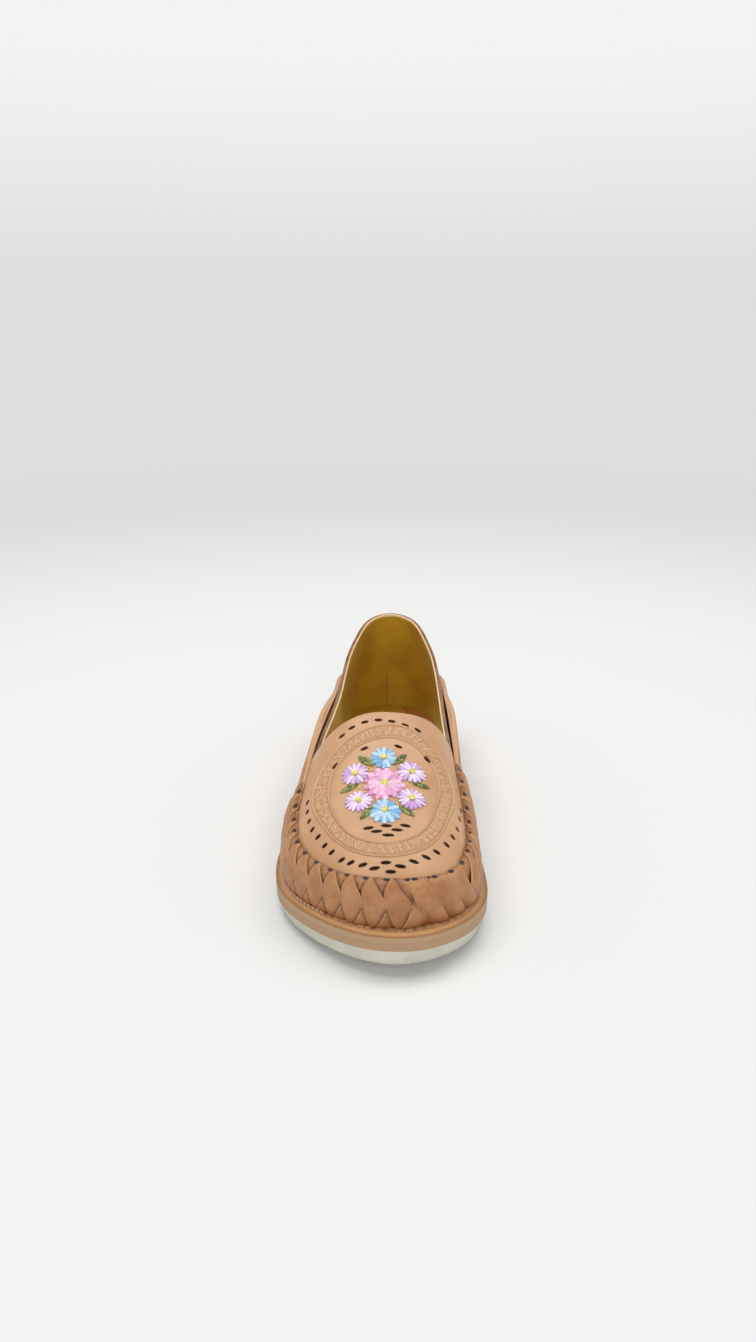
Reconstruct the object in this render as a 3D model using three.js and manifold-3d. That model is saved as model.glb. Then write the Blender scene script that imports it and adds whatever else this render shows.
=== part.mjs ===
// A woven leather huarache for the right foot, in millimetres, +Z up.
// The toe points to -Y, the heel to +Y and the inner side of the foot to +X. The outsole stands on Z = 0.
import * as THREE from "three";
import { mergeVertices } from "three/addons/utils/BufferGeometryUtils.js";
import Module from "manifold-3d";

// Sole sizes.
const soleLength = 250;
const ballWidth = 90;
const outsoleThickness = 6;
const midsoleThickness = 3.4;
const weltThickness = 2.6;
const insoleThickness = 2.5;
const flangeWidth = 4;
const toeSpring = 6;
const springLength = 80;
const archRise = 1.2;
const soleTaper = 2;
const edgeRound = 0.8;

// Upper sizes. Heights are taken from the top of the welt.
const instepHeight = 56;
const heelHeight = 62;
const sideHeight = 32;
const bellyWidth = 1.6;
const bellyHeight = 16;
const featherRoll = 1.5;
const rollHeight = 2.5;
const strapFlareWidth = 2.6;
const vampThickness = 1.8;
const counterThickness = 2.4;
const wovenThickness = 1.5;
const stripRelief = 1.2;
const stripPitch = 9;
const stripCount = 24;
const loopDrop = 2.6;
const vampTuck = 3;
const strapGroove = 1.4;
const slitLength = 34;
const slitBridge = 6;
const slotLength = 4;
const slotWidth = 1.5;

// Clearance between curved neighbours.
const fit = 0.3;
const facetRoom = 0.15;

// Cross sections of the sole. share is the distance from the toe over the sole length, shift is the
// centre line's distance toward the inner side and width is the half width, both over the ball width.
// flange is the welt's visible width over the flange width.
const soleRows = [
  { share: 0.0, shift: 0.112, width: 0.36, flange: 1.875 },
  { share: 0.07, shift: 0.09, width: 0.43, flange: 1.55 },
  { share: 0.15, shift: 0.053, width: 0.48, flange: 1.35 },
  { share: 0.24, shift: 0.027, width: 0.498, flange: 1.35 },
  { share: 0.33, shift: 0.02, width: 0.478, flange: 1.05 },
  { share: 0.46, shift: 0.02, width: 0.428, flange: 0.975 },
  { share: 0.6, shift: 0.028, width: 0.384, flange: 0.9 },
  { share: 0.74, shift: 0.03, width: 0.364, flange: 0.85 },
  { share: 0.86, shift: 0.024, width: 0.366, flange: 0.9 },
  { share: 1.0, shift: 0.016, width: 0.35, flange: 1.1 },
];

// Cross sections of the last. ridge is its height over the instep height, square is the exponent of its
// round section and belly is how far it stands out above the feather edge, over the belly width.
const lastRows = [
  { share: 0.0, ridge: 0.393, square: 2.6, belly: 0 },
  { share: 0.08, ridge: 0.509, square: 2.57, belly: 0.31 },
  { share: 0.16, ridge: 0.563, square: 2.54, belly: 0.5 },
  { share: 0.24, ridge: 0.643, square: 2.5, belly: 0.62 },
  { share: 0.32, ridge: 0.768, square: 2.46, belly: 0.75 },
  { share: 0.42, ridge: 0.973, square: 2.4, belly: 0.87 },
  { share: 0.52, ridge: 1.179, square: 2.34, belly: 0.94 },
  { share: 0.66, ridge: 1.5, square: 2.3, belly: 1 },
  { share: 0.8, ridge: 1.821, square: 2.3, belly: 1 },
  { share: 1.0, ridge: 2, square: 2.3, belly: 0.94 },
];

// Heights along the side by the place on the feather edge. edge is the top of the woven wall over the
// side height, collar is the top of the counter over the heel height, lean is how far the counter leans
// in over its own half width, and flare is how far the straps stand off it, over the strap flare.
const sideRows = [
  { share: 0, edge: 0.52, collar: 0.41, lean: 0, flare: 0 },
  { share: 0.05, edge: 0.51, collar: 0.41, lean: 0, flare: 0 },
  { share: 0.105, edge: 0.54, collar: 0.41, lean: 0, flare: 0 },
  { share: 0.139, edge: 0.58, collar: 0.41, lean: 0, flare: 0 },
  { share: 0.184, edge: 0.625, collar: 0.41, lean: 0, flare: 0 },
  { share: 0.241, edge: 0.69, collar: 0.41, lean: 0, flare: 0 },
  { share: 0.29, edge: 0.8, collar: 0.41, lean: 0, flare: 0 },
  { share: 0.344, edge: 0.92, collar: 0.41, lean: 0, flare: 0 },
  { share: 0.389, edge: 1, collar: 0.415, lean: 0, flare: 0 },
  { share: 0.45, edge: 1, collar: 0.435, lean: 0, flare: 0.08 },
  { share: 0.475, edge: 1, collar: 0.452, lean: 0.01, flare: 0.27 },
  { share: 0.52, edge: 1, collar: 0.505, lean: 0.03, flare: 0.58 },
  { share: 0.6, edge: 1, collar: 0.515, lean: 0.067, flare: 1 },
  { share: 0.68, edge: 1, collar: 0.53, lean: 0.09, flare: 0.73 },
  { share: 0.76, edge: 0.97, collar: 0.565, lean: 0.12, flare: 0.12 },
  { share: 0.85, edge: 0.92, collar: 0.68, lean: 0.18, flare: 0 },
  { share: 0.91, edge: 0.9, collar: 0.82, lean: 0.18, flare: 0 },
  { share: 0.96, edge: 0.9, collar: 0.94, lean: 0.12, flare: 0 },
  { share: 1, edge: 0.9, collar: 1, lean: 0.07, flare: 0 },
];

// The hand-cut slots in the vamp: along from the toe over the sole length, across from the centre line
// over the ball width (inner side positive), the slot's turn in degrees and its length over the slot length.
const slotRows = [
  { along: 0.379, across: -0.198, turn: 32, long: 0.85 },
  { along: 0.39, across: -0.15, turn: 22, long: 0.85 },
  { along: 0.397, across: -0.086, turn: 10, long: 0.85 },
  { along: 0.4, across: -0.018, turn: 0, long: 0.9 },
  { along: 0.398, across: 0.05, turn: -8, long: 0.85 },
  { along: 0.394, across: 0.118, turn: -16, long: 0.85 },
  { along: 0.392, across: 0.181, turn: -24, long: 0.85 },
  { along: 0.312, across: -0.217, turn: 52, long: 0.9 },
  { along: 0.339, across: -0.08, turn: 28, long: 0.9 },
  { along: 0.345, across: 0.086, turn: -22, long: 0.9 },
  { along: 0.333, across: 0.228, turn: -38, long: 0.95 },
  { along: 0.16, across: -0.064, turn: 8, long: 1.05 },
  { along: 0.164, across: 0.018, turn: 0, long: 1.1 },
  { along: 0.167, across: 0.104, turn: -6, long: 1.05 },
  { along: 0.152, across: -0.029, turn: 4, long: 1.1 },
  { along: 0.156, across: 0.063, turn: 0, long: 1.1 },
  { along: 0.144, across: 0.02, turn: 0, long: 1.15 },
  { along: 0.26, across: -0.345, turn: 74, long: 0.7 },
  { along: 0.235, across: -0.342, turn: 80, long: 0.65 },
  { along: 0.208, across: -0.332, turn: 66, long: 0.65 },
  { along: 0.185, across: -0.317, turn: 54, long: 0.65 },
  { along: 0.165, across: -0.292, turn: 48, long: 0.7 },
  { along: 0.144, across: -0.264, turn: 42, long: 0.7 },
  { along: 0.127, across: -0.236, turn: 38, long: 0.7 },
  { along: 0.108, across: -0.197, turn: 30, long: 0.75 },
  { along: 0.099, across: -0.16, turn: 24, long: 0.8 },
  { along: 0.091, across: -0.11, turn: 14, long: 0.9 },
  { along: 0.083, across: -0.062, turn: 8, long: 1 },
  { along: 0.091, across: -0.01, turn: 2, long: 1 },
  { along: 0.077, across: 0.006, turn: 0, long: 1 },
  { along: 0.086, across: 0.051, turn: -4, long: 1.05 },
  { along: 0.097, across: 0.114, turn: -12, long: 0.95 },
  { along: 0.11, across: 0.174, turn: -18, long: 0.95 },
  { along: 0.126, across: 0.228, turn: -26, long: 0.8 },
  { along: 0.149, across: 0.283, turn: -38, long: 0.75 },
  { along: 0.173, across: 0.321, turn: -46, long: 0.7 },
  { along: 0.202, across: 0.353, turn: -56, long: 0.7 },
  { along: 0.241, across: 0.376, turn: -66, long: 0.7 },
  { along: 0.274, across: 0.39, turn: -70, long: 0.65 },
  { along: 0.312, across: 0.401, turn: -74, long: 0.65 },
];

const weltTop = outsoleThickness + midsoleThickness + weltThickness;
const wovenInside = fit + facetRoom;
const wovenOutside = wovenInside + wovenThickness;
const toePole = 0.3 * soleLength;
const heelPole = 0.8 * soleLength;
const poleBlend = 14;
const leanPower = 1.6;
const taperPower = 0.7;
const toeRound = { share: 0.19, power: 2.25 };
const heelRound = { share: 0.15, power: 2.1 };
const archSpan = { start: 0.46, end: 0.74 };

// A smooth function through one column of a table, by the share of the sole length.
function column(rows, key) {
  const last = rows.length - 1;
  const slopes = rows.map((row, i) => {
    const before = rows[Math.max(i - 1, 0)];
    const after = rows[Math.min(i + 1, last)];
    return (after[key] - before[key]) / (after.share - before.share);
  });
  return (share) => {
    const at = Math.min(Math.max(share, 0), 1);
    let i = 0;
    while (i < last - 1 && at > rows[i + 1].share) i++;
    const span = rows[i + 1].share - rows[i].share;
    const t = (at - rows[i].share) / span;
    const rise = rows[i + 1][key] - rows[i][key];
    const bend = (1 - t) * slopes[i] * span - t * slopes[i + 1] * span + (2 * t - 1) * rise;
    return rows[i][key] + t * rise + t * (1 - t) * bend;
  };
}

const shiftAt = column(soleRows, "shift");
const widthAt = column(soleRows, "width");
const flangeAt = column(soleRows, "flange");
const ridgeAt = column(lastRows, "ridge");
const squareAt = column(lastRows, "square");
const bellyAt = column(lastRows, "belly");
const edgeAt = column(sideRows, "edge");
const collarAt = column(sideRows, "collar");
const leanAt = column(sideRows, "lean");
const flareAt = column(sideRows, "flare");

const clamp01 = (value) => Math.min(Math.max(value, 0), 1);

const smoothStep = (from, to, value) => {
  const t = clamp01((value - from) / (to - from));
  return t * t * (3 - 2 * t);
};

// How far the tread lies above the floor, s millimetres from the toe: toe spring and a low arch.
function riseAt(s) {
  const spring = toeSpring * clamp01(1 - s / springLength) ** 2;
  const waist = clamp01((s / soleLength - archSpan.start) / (archSpan.end - archSpan.start));
  return spring + archRise * Math.sin(Math.PI * waist) ** 2;
}

const centreAt = (s) => ballWidth * shiftAt(s / soleLength);

function halfWidthAt(s) {
  const share = clamp01(s / soleLength);
  const toe = clamp01(share / toeRound.share);
  const heel = clamp01((1 - share) / heelRound.share);
  const toeEnd = (1 - (1 - toe) ** toeRound.power) ** (1 / toeRound.power);
  const heelEnd = (1 - (1 - heel) ** heelRound.power) ** (1 / heelRound.power);
  return ballWidth * widthAt(share) * toeEnd * heelEnd;
}

// The share of the sole length at a turn round the outline.
const baseShare = (turn) => (1 - Math.cos(turn)) / 2;

// The sole's outline. turn is 0 at the toe, PI at the heel, positive on the outer side of the foot.
// inset moves the point inward, square to the outline.
function outlineAt(turn, inset = 0) {
  const at = (angle) => {
    const s = soleLength * baseShare(angle);
    const side = Math.sin(angle) >= 0 ? -1 : 1;
    return { x: centreAt(s) + side * halfWidthAt(s), s };
  };
  const step = 1e-3;
  const here = at(turn);
  const before = at(turn - step);
  const after = at(turn + step);
  const length = Math.hypot(after.x - before.x, after.s - before.s);
  const nx = (after.s - before.s) / length;
  const ns = (before.x - after.x) / length;
  return { x: here.x + nx * inset, s: here.s + ns * inset };
}

// The feather edge, where the upper meets the welt.
function featherAt(turn, inset = 0) {
  return outlineAt(turn, flangeWidth * flangeAt(baseShare(turn)) + inset);
}

// A value held between the two poles of the last, with soft corners.
function betweenPoles(s) {
  const soft = (x) => poleBlend * Math.log1p(Math.exp(x / poleBlend));
  return toePole + soft(s - toePole) - soft(s - heelPole);
}

// A point on the last. climb is 0 at the feather edge and 1 on the ridge.
function lastPoint(turn, climb) {
  const base = featherAt(turn);
  const pole = betweenPoles(base.s);
  const poleX = centreAt(pole);
  const square = squareAt(pole / soleLength);
  const reach = Math.cos((climb * Math.PI) / 2) ** (2 / square);
  const lift = Math.sin((climb * Math.PI) / 2) ** (2 / square);
  const dx = base.x - poleX;
  const ds = base.s - pole;
  const far = Math.hypot(dx, ds);
  const s0 = pole + ds * reach;
  const height = ridgeAt(s0 / soleLength) * instepHeight * lift;
  const leanIn = leanAt(baseShare(turn)) * (height / instepHeight) ** leanPower;
  const swell = (height / bellyHeight) * Math.exp(1 - height / bellyHeight);
  const roll = featherRoll * Math.exp(-height / rollHeight);
  const belly = bellyWidth * bellyAt(baseShare(turn)) * swell - roll;
  const scale = reach * (1 - leanIn) + (belly * reach) / far;
  const s = pole + ds * scale;
  return { x: poleX + dx * scale, s, height };
}

// The last as a position in the part's frame, moved out by a distance square to its surface, though
// never downward, so that walls of any thickness stand level on the welt. It is bent to the toe spring
// after that.
function onLast(turn, climb, out) {
  const place = (a, c) => {
    const p = lastPoint(a, c);
    return new THREE.Vector3(p.x, p.s, p.height);
  };
  const step = 2e-3;
  const low = Math.max(climb - step, 0);
  const high = Math.min(climb + step, 1);
  const nearTop = Math.min(climb, 1 - 4 * step);
  const round = place(turn + step, nearTop).sub(place(turn - step, nearTop));
  const up = place(turn, high).sub(place(turn, low));
  const normal = up.cross(round).normalize();
  if (normal.z < 0) normal.setZ(0).normalize();
  const p = place(turn, climb).addScaledVector(normal, out);
  return new THREE.Vector3(p.x, p.y - soleLength / 2, riseAt(p.y) + weltTop + p.z);
}

// The climb at which the last has a given height above the welt.
function climbFor(turn, height) {
  let low = 0;
  let high = 1;
  for (let i = 0; i < 26; i++) {
    const middle = (low + high) / 2;
    if (lastPoint(turn, middle).height < height) low = middle;
    else high = middle;
  }
  return (low + high) / 2;
}

// Distance along the feather edge from the toe, as a table for each side, and its reverse.
const girthSteps = 400;
function girthTable(side) {
  const table = [{ turn: 0, girth: 0 }];
  for (let i = 1; i <= girthSteps; i++) {
    const turn = (side * Math.PI * i) / girthSteps;
    const a = featherAt(table[i - 1].turn);
    const b = featherAt(turn);
    table.push({ turn, girth: table[i - 1].girth + Math.hypot(a.x - b.x, a.s - b.s) });
  }
  return table;
}
const girthTables = { outer: girthTable(1), inner: girthTable(-1) };

function turnAt(girth) {
  const table = girth >= 0 ? girthTables.outer : girthTables.inner;
  const target = Math.abs(girth);
  let i = 1;
  while (i < girthSteps && table[i].girth < target) i++;
  const a = table[i - 1];
  const b = table[i];
  return a.turn + ((b.turn - a.turn) * (target - a.girth)) / (b.girth - a.girth);
}

// A bar through cross sections of equal length, each listed once round. closed joins the last section to
// the first, as in a ring. An open bar gets its two ends filled.
function barGeometry(sections, closed) {
  const count = sections[0].length;
  const positions = sections.flat().flatMap((p) => [p.x, p.y, p.z]);
  const index = [];
  const spans = closed ? sections.length : sections.length - 1;
  for (let i = 0; i < spans; i++) {
    const next = (i + 1) % sections.length;
    for (let j = 0; j < count; j++) {
      const k = (j + 1) % count;
      index.push(i * count + j, next * count + j, next * count + k);
      index.push(i * count + j, next * count + k, i * count + k);
    }
  }
  if (!closed) {
    const end = (sections.length - 1) * count;
    for (let j = 0; j < count / 2 - 1; j++) {
      const k = count - 1 - j;
      index.push(j, j + 1, k - 1, j, k - 1, k);
      index.push(end + j, end + k - 1, end + j + 1, end + j, end + k, end + k - 1);
    }
  }
  const geometry = new THREE.BufferGeometry();
  geometry.setAttribute("position", new THREE.Float32BufferAttribute(positions, 3));
  geometry.setIndex(index);
  return geometry;
}

const wasm = await Module();
wasm.setup();

function toSolid(geometry) {
  const bare = geometry.clone();
  bare.deleteAttribute("normal");
  bare.deleteAttribute("uv");
  const merged = mergeVertices(bare, 1e-4);
  return new wasm.Manifold(
    new wasm.Mesh({
      numProp: 3,
      vertProperties: new Float32Array(merged.attributes.position.array),
      triVerts: new Uint32Array(merged.index.array),
    }),
  );
}

function toGeometry(solid) {
  const mesh = solid.getMesh();
  const geometry = new THREE.BufferGeometry();
  geometry.setAttribute("position", new THREE.Float32BufferAttribute(mesh.vertProperties, 3));
  geometry.setIndex(new THREE.BufferAttribute(mesh.triVerts, 1));
  return geometry;
}

function cutAll(geometry, cutters) {
  const whole = cutters.reduce((solid, cutter) => solid.subtract(toSolid(cutter)), toSolid(geometry));
  return toGeometry(whole);
}

// A layer of the sole: rings of the outline from the bottom up, each with its height and its inset.
const soleSteps = 34;
function layerGeometry(rings) {
  const positions = [];
  const index = [];
  const ringSize = 2 * soleSteps;
  const turnOf = (i) => (Math.PI * i) / soleSteps;
  for (const ring of rings) {
    for (let i = 0; i < ringSize; i++) {
      const p = ring.outline(turnOf(i));
      positions.push(p.x, p.s - soleLength / 2, riseAt(p.s) + ring.z);
    }
  }
  for (let r = 0; r < rings.length - 1; r++) {
    for (let i = 0; i < ringSize; i++) {
      const a = r * ringSize + i;
      const b = r * ringSize + ((i + 1) % ringSize);
      index.push(a, a + ringSize, b + ringSize, a, b + ringSize, b);
    }
  }
  const top = (rings.length - 1) * ringSize;
  const mirror = (i) => (ringSize - i) % ringSize;
  for (let i = 0; i < soleSteps; i++) {
    const quad = [i, i + 1, mirror(i + 1), mirror(i)];
    for (const [a, b, c] of [quad.slice(0, 3), [quad[0], quad[2], quad[3]]]) {
      if (a === b || b === c || a === c) continue;
      index.push(a, b, c);
      index.push(top + a, top + c, top + b);
    }
  }
  const geometry = new THREE.BufferGeometry();
  geometry.setAttribute("position", new THREE.Float32BufferAttribute(positions, 3));
  geometry.setIndex(index);
  return geometry;
}

// The outsole leans in at the sides and stands upright at toe and heel.
function outsoleGeometry() {
  const lean = (turn, share) => soleTaper * share * Math.abs(Math.sin(turn)) ** taperPower;
  const top = outsoleThickness - fit;
  return layerGeometry([
    { z: 0, outline: (turn) => outlineAt(turn, lean(turn, 1) + edgeRound) },
    { z: edgeRound, outline: (turn) => outlineAt(turn, lean(turn, 1 - edgeRound / top)) },
    { z: top, outline: (turn) => outlineAt(turn) },
  ]);
}

function midsoleGeometry() {
  const top = outsoleThickness + midsoleThickness - fit;
  return layerGeometry([
    { z: outsoleThickness, outline: (turn) => outlineAt(turn, fit) },
    { z: top, outline: (turn) => outlineAt(turn, fit) },
  ]);
}

function weltGeometry() {
  return layerGeometry([
    { z: weltTop - weltThickness, outline: (turn) => outlineAt(turn) },
    { z: weltTop - edgeRound, outline: (turn) => outlineAt(turn) },
    { z: weltTop, outline: (turn) => outlineAt(turn, edgeRound) },
  ]);
}

function insoleGeometry() {
  const inset = featherRoll + counterThickness + fit;
  const top = weltTop + fit + insoleThickness;
  return layerGeometry([
    { z: weltTop + fit, outline: (turn) => featherAt(turn, inset) },
    { z: top - edgeRound, outline: (turn) => featherAt(turn, inset) },
    { z: top, outline: (turn) => featherAt(turn, inset + edgeRound) },
  ]);
}

// The woven wall. Its front is a row of leaning strips, each passing over its neighbour, and its back is
// three long straps one above the other, which run round the heel outside the counter.
const weaveReach = (stripCount / 2) * stripPitch;
const stripPhases = [-0.5, -0.37, 0, 0.37];
const strapStep = 7;

// Rows of the outer face from the welt up. weave is a row's level on the woven front, strap its level on
// the straps and relief how far the straps stand out there. The straps meet in the two rows of grooves.
const faceRows = [
  { weave: 0, strap: 0, relief: 0.5 },
  { weave: 0.1, strap: 0.06, relief: 1 },
  { weave: 0.2, strap: 0.28, relief: 1 },
  { weave: 0.3, strap: 0.32, relief: -0.2 },
  { weave: 0.42, strap: 0.36, relief: 1 },
  { weave: 0.56, strap: 0.5, relief: 1.1 },
  { weave: 0.7, strap: 0.62, relief: 1 },
  { weave: 0.82, strap: 0.66, relief: -0.2 },
  { weave: 0.93, strap: 0.7, relief: 1 },
  { weave: 1, strap: 1, relief: 0.7 },
];
const grooveRows = [3, 7];

// The form of one strip. Depths are shares of its relief: the crown, its middle where its neighbour
// crosses it, and the dip at the loop. edge is where its side starts to drop, over its half width, and
// the others are levels.
const strip = {
  crown: 0.15,
  edge: 0.72,
  crossed: 0.35,
  crossedFrom: 0.3,
  crossedTo: 0.08,
  dip: 0.3,
  dipFrom: 0.85,
};

// Levels of the rows on the inner face, over the side height. The counter's faces have rows there too.
const innerLevels = [0, 0.15, 0.36, 0.62, 0.85];

// How high the outer face stands at a phase across a strip (-0.5 to 0.5) and a level up the wall.
function weaveShape(phase, level) {
  const across = Math.abs(phase) * 2;
  const over = 1 - strip.crown * across ** 2 - (1 - strip.crown) * smoothStep(strip.edge, 1, across);
  const under = strip.crossed + (1 - strip.crossed) * across;
  const crossing = smoothStep(strip.crossedFrom, strip.crossedTo, level);
  return THREE.MathUtils.lerp(over, under, crossing) - strip.dip * smoothStep(strip.dipFrom, 1, level);
}

// Strips slide back by one pitch on their way down, except on the centre line and behind the weave.
function slideAt(girth) {
  const g = Math.abs(girth);
  const woven = smoothStep(weaveReach + 2 * stripPitch, weaveReach, g);
  return stripPitch * smoothStep(0, stripPitch / 2, g) * woven;
}

function wovenColumns() {
  const columns = [];
  for (let i = -stripCount / 2; i <= stripCount / 2; i++) {
    for (const phase of stripPhases) columns.push({ girth: (i + phase) * stripPitch, phase });
  }
  const back = weaveReach + stripPitch / 2;
  const outerEnd = girthTables.outer[girthSteps].girth;
  const innerEnd = girthTables.inner[girthSteps].girth;
  const outerCount = Math.round((outerEnd - back) / strapStep);
  const innerCount = Math.round((innerEnd - back) / strapStep);
  for (let i = 0; i < outerCount; i++) {
    columns.push({ girth: back + ((outerEnd - back) * i) / outerCount, phase: -0.5 });
  }
  for (let i = 0; i < innerCount; i++) {
    columns.push({ girth: -innerEnd + ((innerEnd - back) * i) / innerCount, phase: -0.5 });
  }
  return columns;
}

// A point on the woven wall, at a girth along the feather edge and a level up to the wall's top edge.
function onWoven(girth, level, out) {
  const top = sideHeight * edgeAt(baseShare(turnAt(girth)));
  const turn = turnAt(girth + Math.sign(girth) * slideAt(girth) * (1 - level));
  const height = fit + (top - fit) * level;
  const flare = strapFlareWidth * flareAt(baseShare(turn)) * level ** 2;
  return onLast(turn, climbFor(turn, height), out + flare);
}

function wovenSection({ girth, phase }) {
  const weave = smoothStep(weaveReach + stripPitch, weaveReach, Math.abs(girth));
  const notch = (loopDrop / sideHeight) * smoothStep(0.5, 1, Math.abs(phase) * 2) * weave;
  const section = faceRows.map((row) => {
    const level = THREE.MathUtils.lerp(row.strap, row.weave, weave) * (1 - notch);
    const shape = THREE.MathUtils.lerp(row.relief, weaveShape(phase, row.weave), weave);
    return onWoven(girth, level, wovenOutside + stripRelief * shape);
  });
  const inner = [...innerLevels, 1].map((level) => onWoven(girth, level * (1 - notch), wovenInside));
  return [...section, ...inner.reverse()];
}

// A cutter that follows the wall, from one girth to another about a level, with narrow ends.
const slitSteps = 3;
const cutterRoom = 1;
function slitCutter(from, to, level) {
  const top = sideHeight * edgeAt(baseShare(turnAt((from + to) / 2)));
  const half = strapGroove / 2 / top;
  const inside = wovenInside - cutterRoom;
  const outside = wovenOutside + stripRelief + cutterRoom;
  const sections = [];
  for (let i = 0; i <= slitSteps; i++) {
    const girth = from + ((to - from) * i) / slitSteps;
    const reach = i === 0 || i === slitSteps ? half / 2 : half;
    sections.push([
      onWoven(girth, level - reach, inside),
      onWoven(girth, level - reach, outside),
      onWoven(girth, level + reach, outside),
      onWoven(girth, level + reach, inside),
    ]);
  }
  return turnedOut(barGeometry(sections, false));
}

function wovenCutters() {
  const cutters = [];
  for (const [side, ends] of [[1, girthTables.outer], [-1, girthTables.inner]]) {
    const start = weaveReach + stripPitch;
    const run = ends[girthSteps].girth - slitBridge / 2 - start;
    const count = Math.floor(run / (slitLength + slitBridge));
    const step = run / count;
    for (let i = 0; i < count; i++) {
      const from = start + i * step;
      const to = from + step - slitBridge;
      for (const row of grooveRows) cutters.push(slitCutter(side * from, side * to, faceRows[row].strap));
    }
  }
  return cutters;
}

// The same solid with its faces outward.
function turnedOut(geometry) {
  if (toSolid(geometry).volume() > 0) return geometry;
  const flipped = geometry.clone();
  const index = flipped.index.array;
  for (let i = 0; i < index.length; i += 3) [index[i + 1], index[i + 2]] = [index[i + 2], index[i + 1]];
  return flipped;
}

function wovenGeometry() {
  const sections = wovenColumns().map(wovenSection);
  return cutAll(turnedOut(barGeometry(sections, true)), wovenCutters());
}

// The vamp plug: one piece of leather over the instep, tucked under the loops of the weave.
const vampSteps = 20;
const vampRows = 8;
const throatTurns = { outer: { ridge: 80, wing: 77.6 }, inner: { ridge: 80, wing: 85.5 } };

function vampTurn(column, row) {
  const side = column >= 0 ? 1 : -1;
  const ends = side > 0 ? throatTurns.outer : throatTurns.inner;
  const degrees = THREE.MathUtils.lerp(ends.ridge, ends.wing, (1 - row) ** 2);
  return side * THREE.MathUtils.degToRad(degrees) * Math.abs(column);
}

// column runs from -1 (inner throat corner) by the toe to 1 (outer throat corner), row from edge to ridge.
function onVamp(column, row, out) {
  const turn = vampTurn(column, row);
  const share = baseShare(turn);
  const low = climbFor(turn, sideHeight * edgeAt(share) - vampTuck);
  const square = squareAt(betweenPoles(featherAt(turn).s) / soleLength);
  const reach = Math.cos((low * Math.PI) / 2) ** (2 / square) * (1 - row);
  const climb = (2 / Math.PI) * Math.acos(reach ** (square / 2));
  if (row < 1) return onLast(turn, climb, out);
  return onLast(turn, 1, out).add(onLast(-turn, 1, out)).multiplyScalar(0.5);
}

function vampSheet(out) {
  const rows = [];
  for (let j = 0; j <= vampRows; j++) {
    const row = [];
    for (let i = -vampSteps; i <= vampSteps; i++) row.push(onVamp(i / vampSteps, j / vampRows, out));
    rows.push(row);
  }
  return rows;
}

function vampGeometry() {
  const sheets = [vampSheet(0), vampSheet(-vampThickness)];
  const width = 2 * vampSteps + 1;
  const size = width * (vampRows + 1);
  const positions = sheets.flat(2).flatMap((p) => [p.x, p.y, p.z]);
  const index = [];
  const at = (sheet, row, i) => sheet * size + row * width + i;
  const wall = (a, b) => index.push(a, b, b + size, a, b + size, a + size);
  for (let j = 0; j < vampRows; j++) {
    for (let i = 0; i < width - 1; i++) {
      const quad = [at(0, j, i), at(0, j, i + 1), at(0, j + 1, i + 1), at(0, j + 1, i)];
      index.push(quad[0], quad[2], quad[1], quad[0], quad[3], quad[2]);
      index.push(quad[0] + size, quad[1] + size, quad[2] + size);
      index.push(quad[0] + size, quad[2] + size, quad[3] + size);
    }
    wall(at(0, j + 1, 0), at(0, j, 0));
    wall(at(0, j, width - 1), at(0, j + 1, width - 1));
  }
  for (let i = 0; i < width - 1; i++) wall(at(0, 0, i), at(0, 0, i + 1));
  const geometry = new THREE.BufferGeometry();
  geometry.setAttribute("position", new THREE.Float32BufferAttribute(positions, 3));
  geometry.setIndex(index);
  return cutAll(turnedOut(geometry), slotRows.map(slotCutter));
}

// The vamp's top surface over a place in plan, found by stepping round and up the last.
function vampTopAt(x, y) {
  let best = { far: Infinity };
  const look = (turn, climb) => {
    const p = onLast(turn, climb, 0);
    const far = Math.hypot(p.x - x, p.y - y);
    if (far < best.far) best = { far, turn, climb, p };
  };
  for (let a = -90; a <= 90; a += 6) {
    for (let c = 0.2; c <= 1; c += 0.1) look(THREE.MathUtils.degToRad(a), c);
  }
  for (let size = 1; size > 0.01; size /= 2) {
    const { turn, climb } = best;
    for (const [i, j] of [[1, 0], [-1, 0], [0, 1], [0, -1]]) {
      look(turn + i * 0.1 * size, Math.min(climb + j * 0.08 * size, 1));
    }
  }
  return best;
}

// A slot is an oval prism square to the leather.
function slotCutter({ along, across, turn, long }) {
  const s = along * soleLength;
  const length = long * slotLength;
  const place = vampTopAt(centreAt(s) + across * ballWidth, s - soleLength / 2);
  const normal = onLast(place.turn, place.climb, 1).sub(place.p).normalize();
  const oval = new THREE.Shape();
  oval.absellipse(0, 0, length / 2, slotWidth / 2, 0, 2 * Math.PI);
  const depth = 3 * vampThickness;
  const prism = new THREE.ExtrudeGeometry(oval, { depth, bevelEnabled: false, curveSegments: 3 });
  prism.translate(0, 0, -depth / 2 - vampThickness / 2);
  prism.rotateZ(THREE.MathUtils.degToRad(turn));
  prism.applyQuaternion(new THREE.Quaternion().setFromUnitVectors(new THREE.Vector3(0, 0, 1), normal));
  prism.translate(place.p.x, place.p.y, place.p.z);
  return prism;
}

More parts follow.
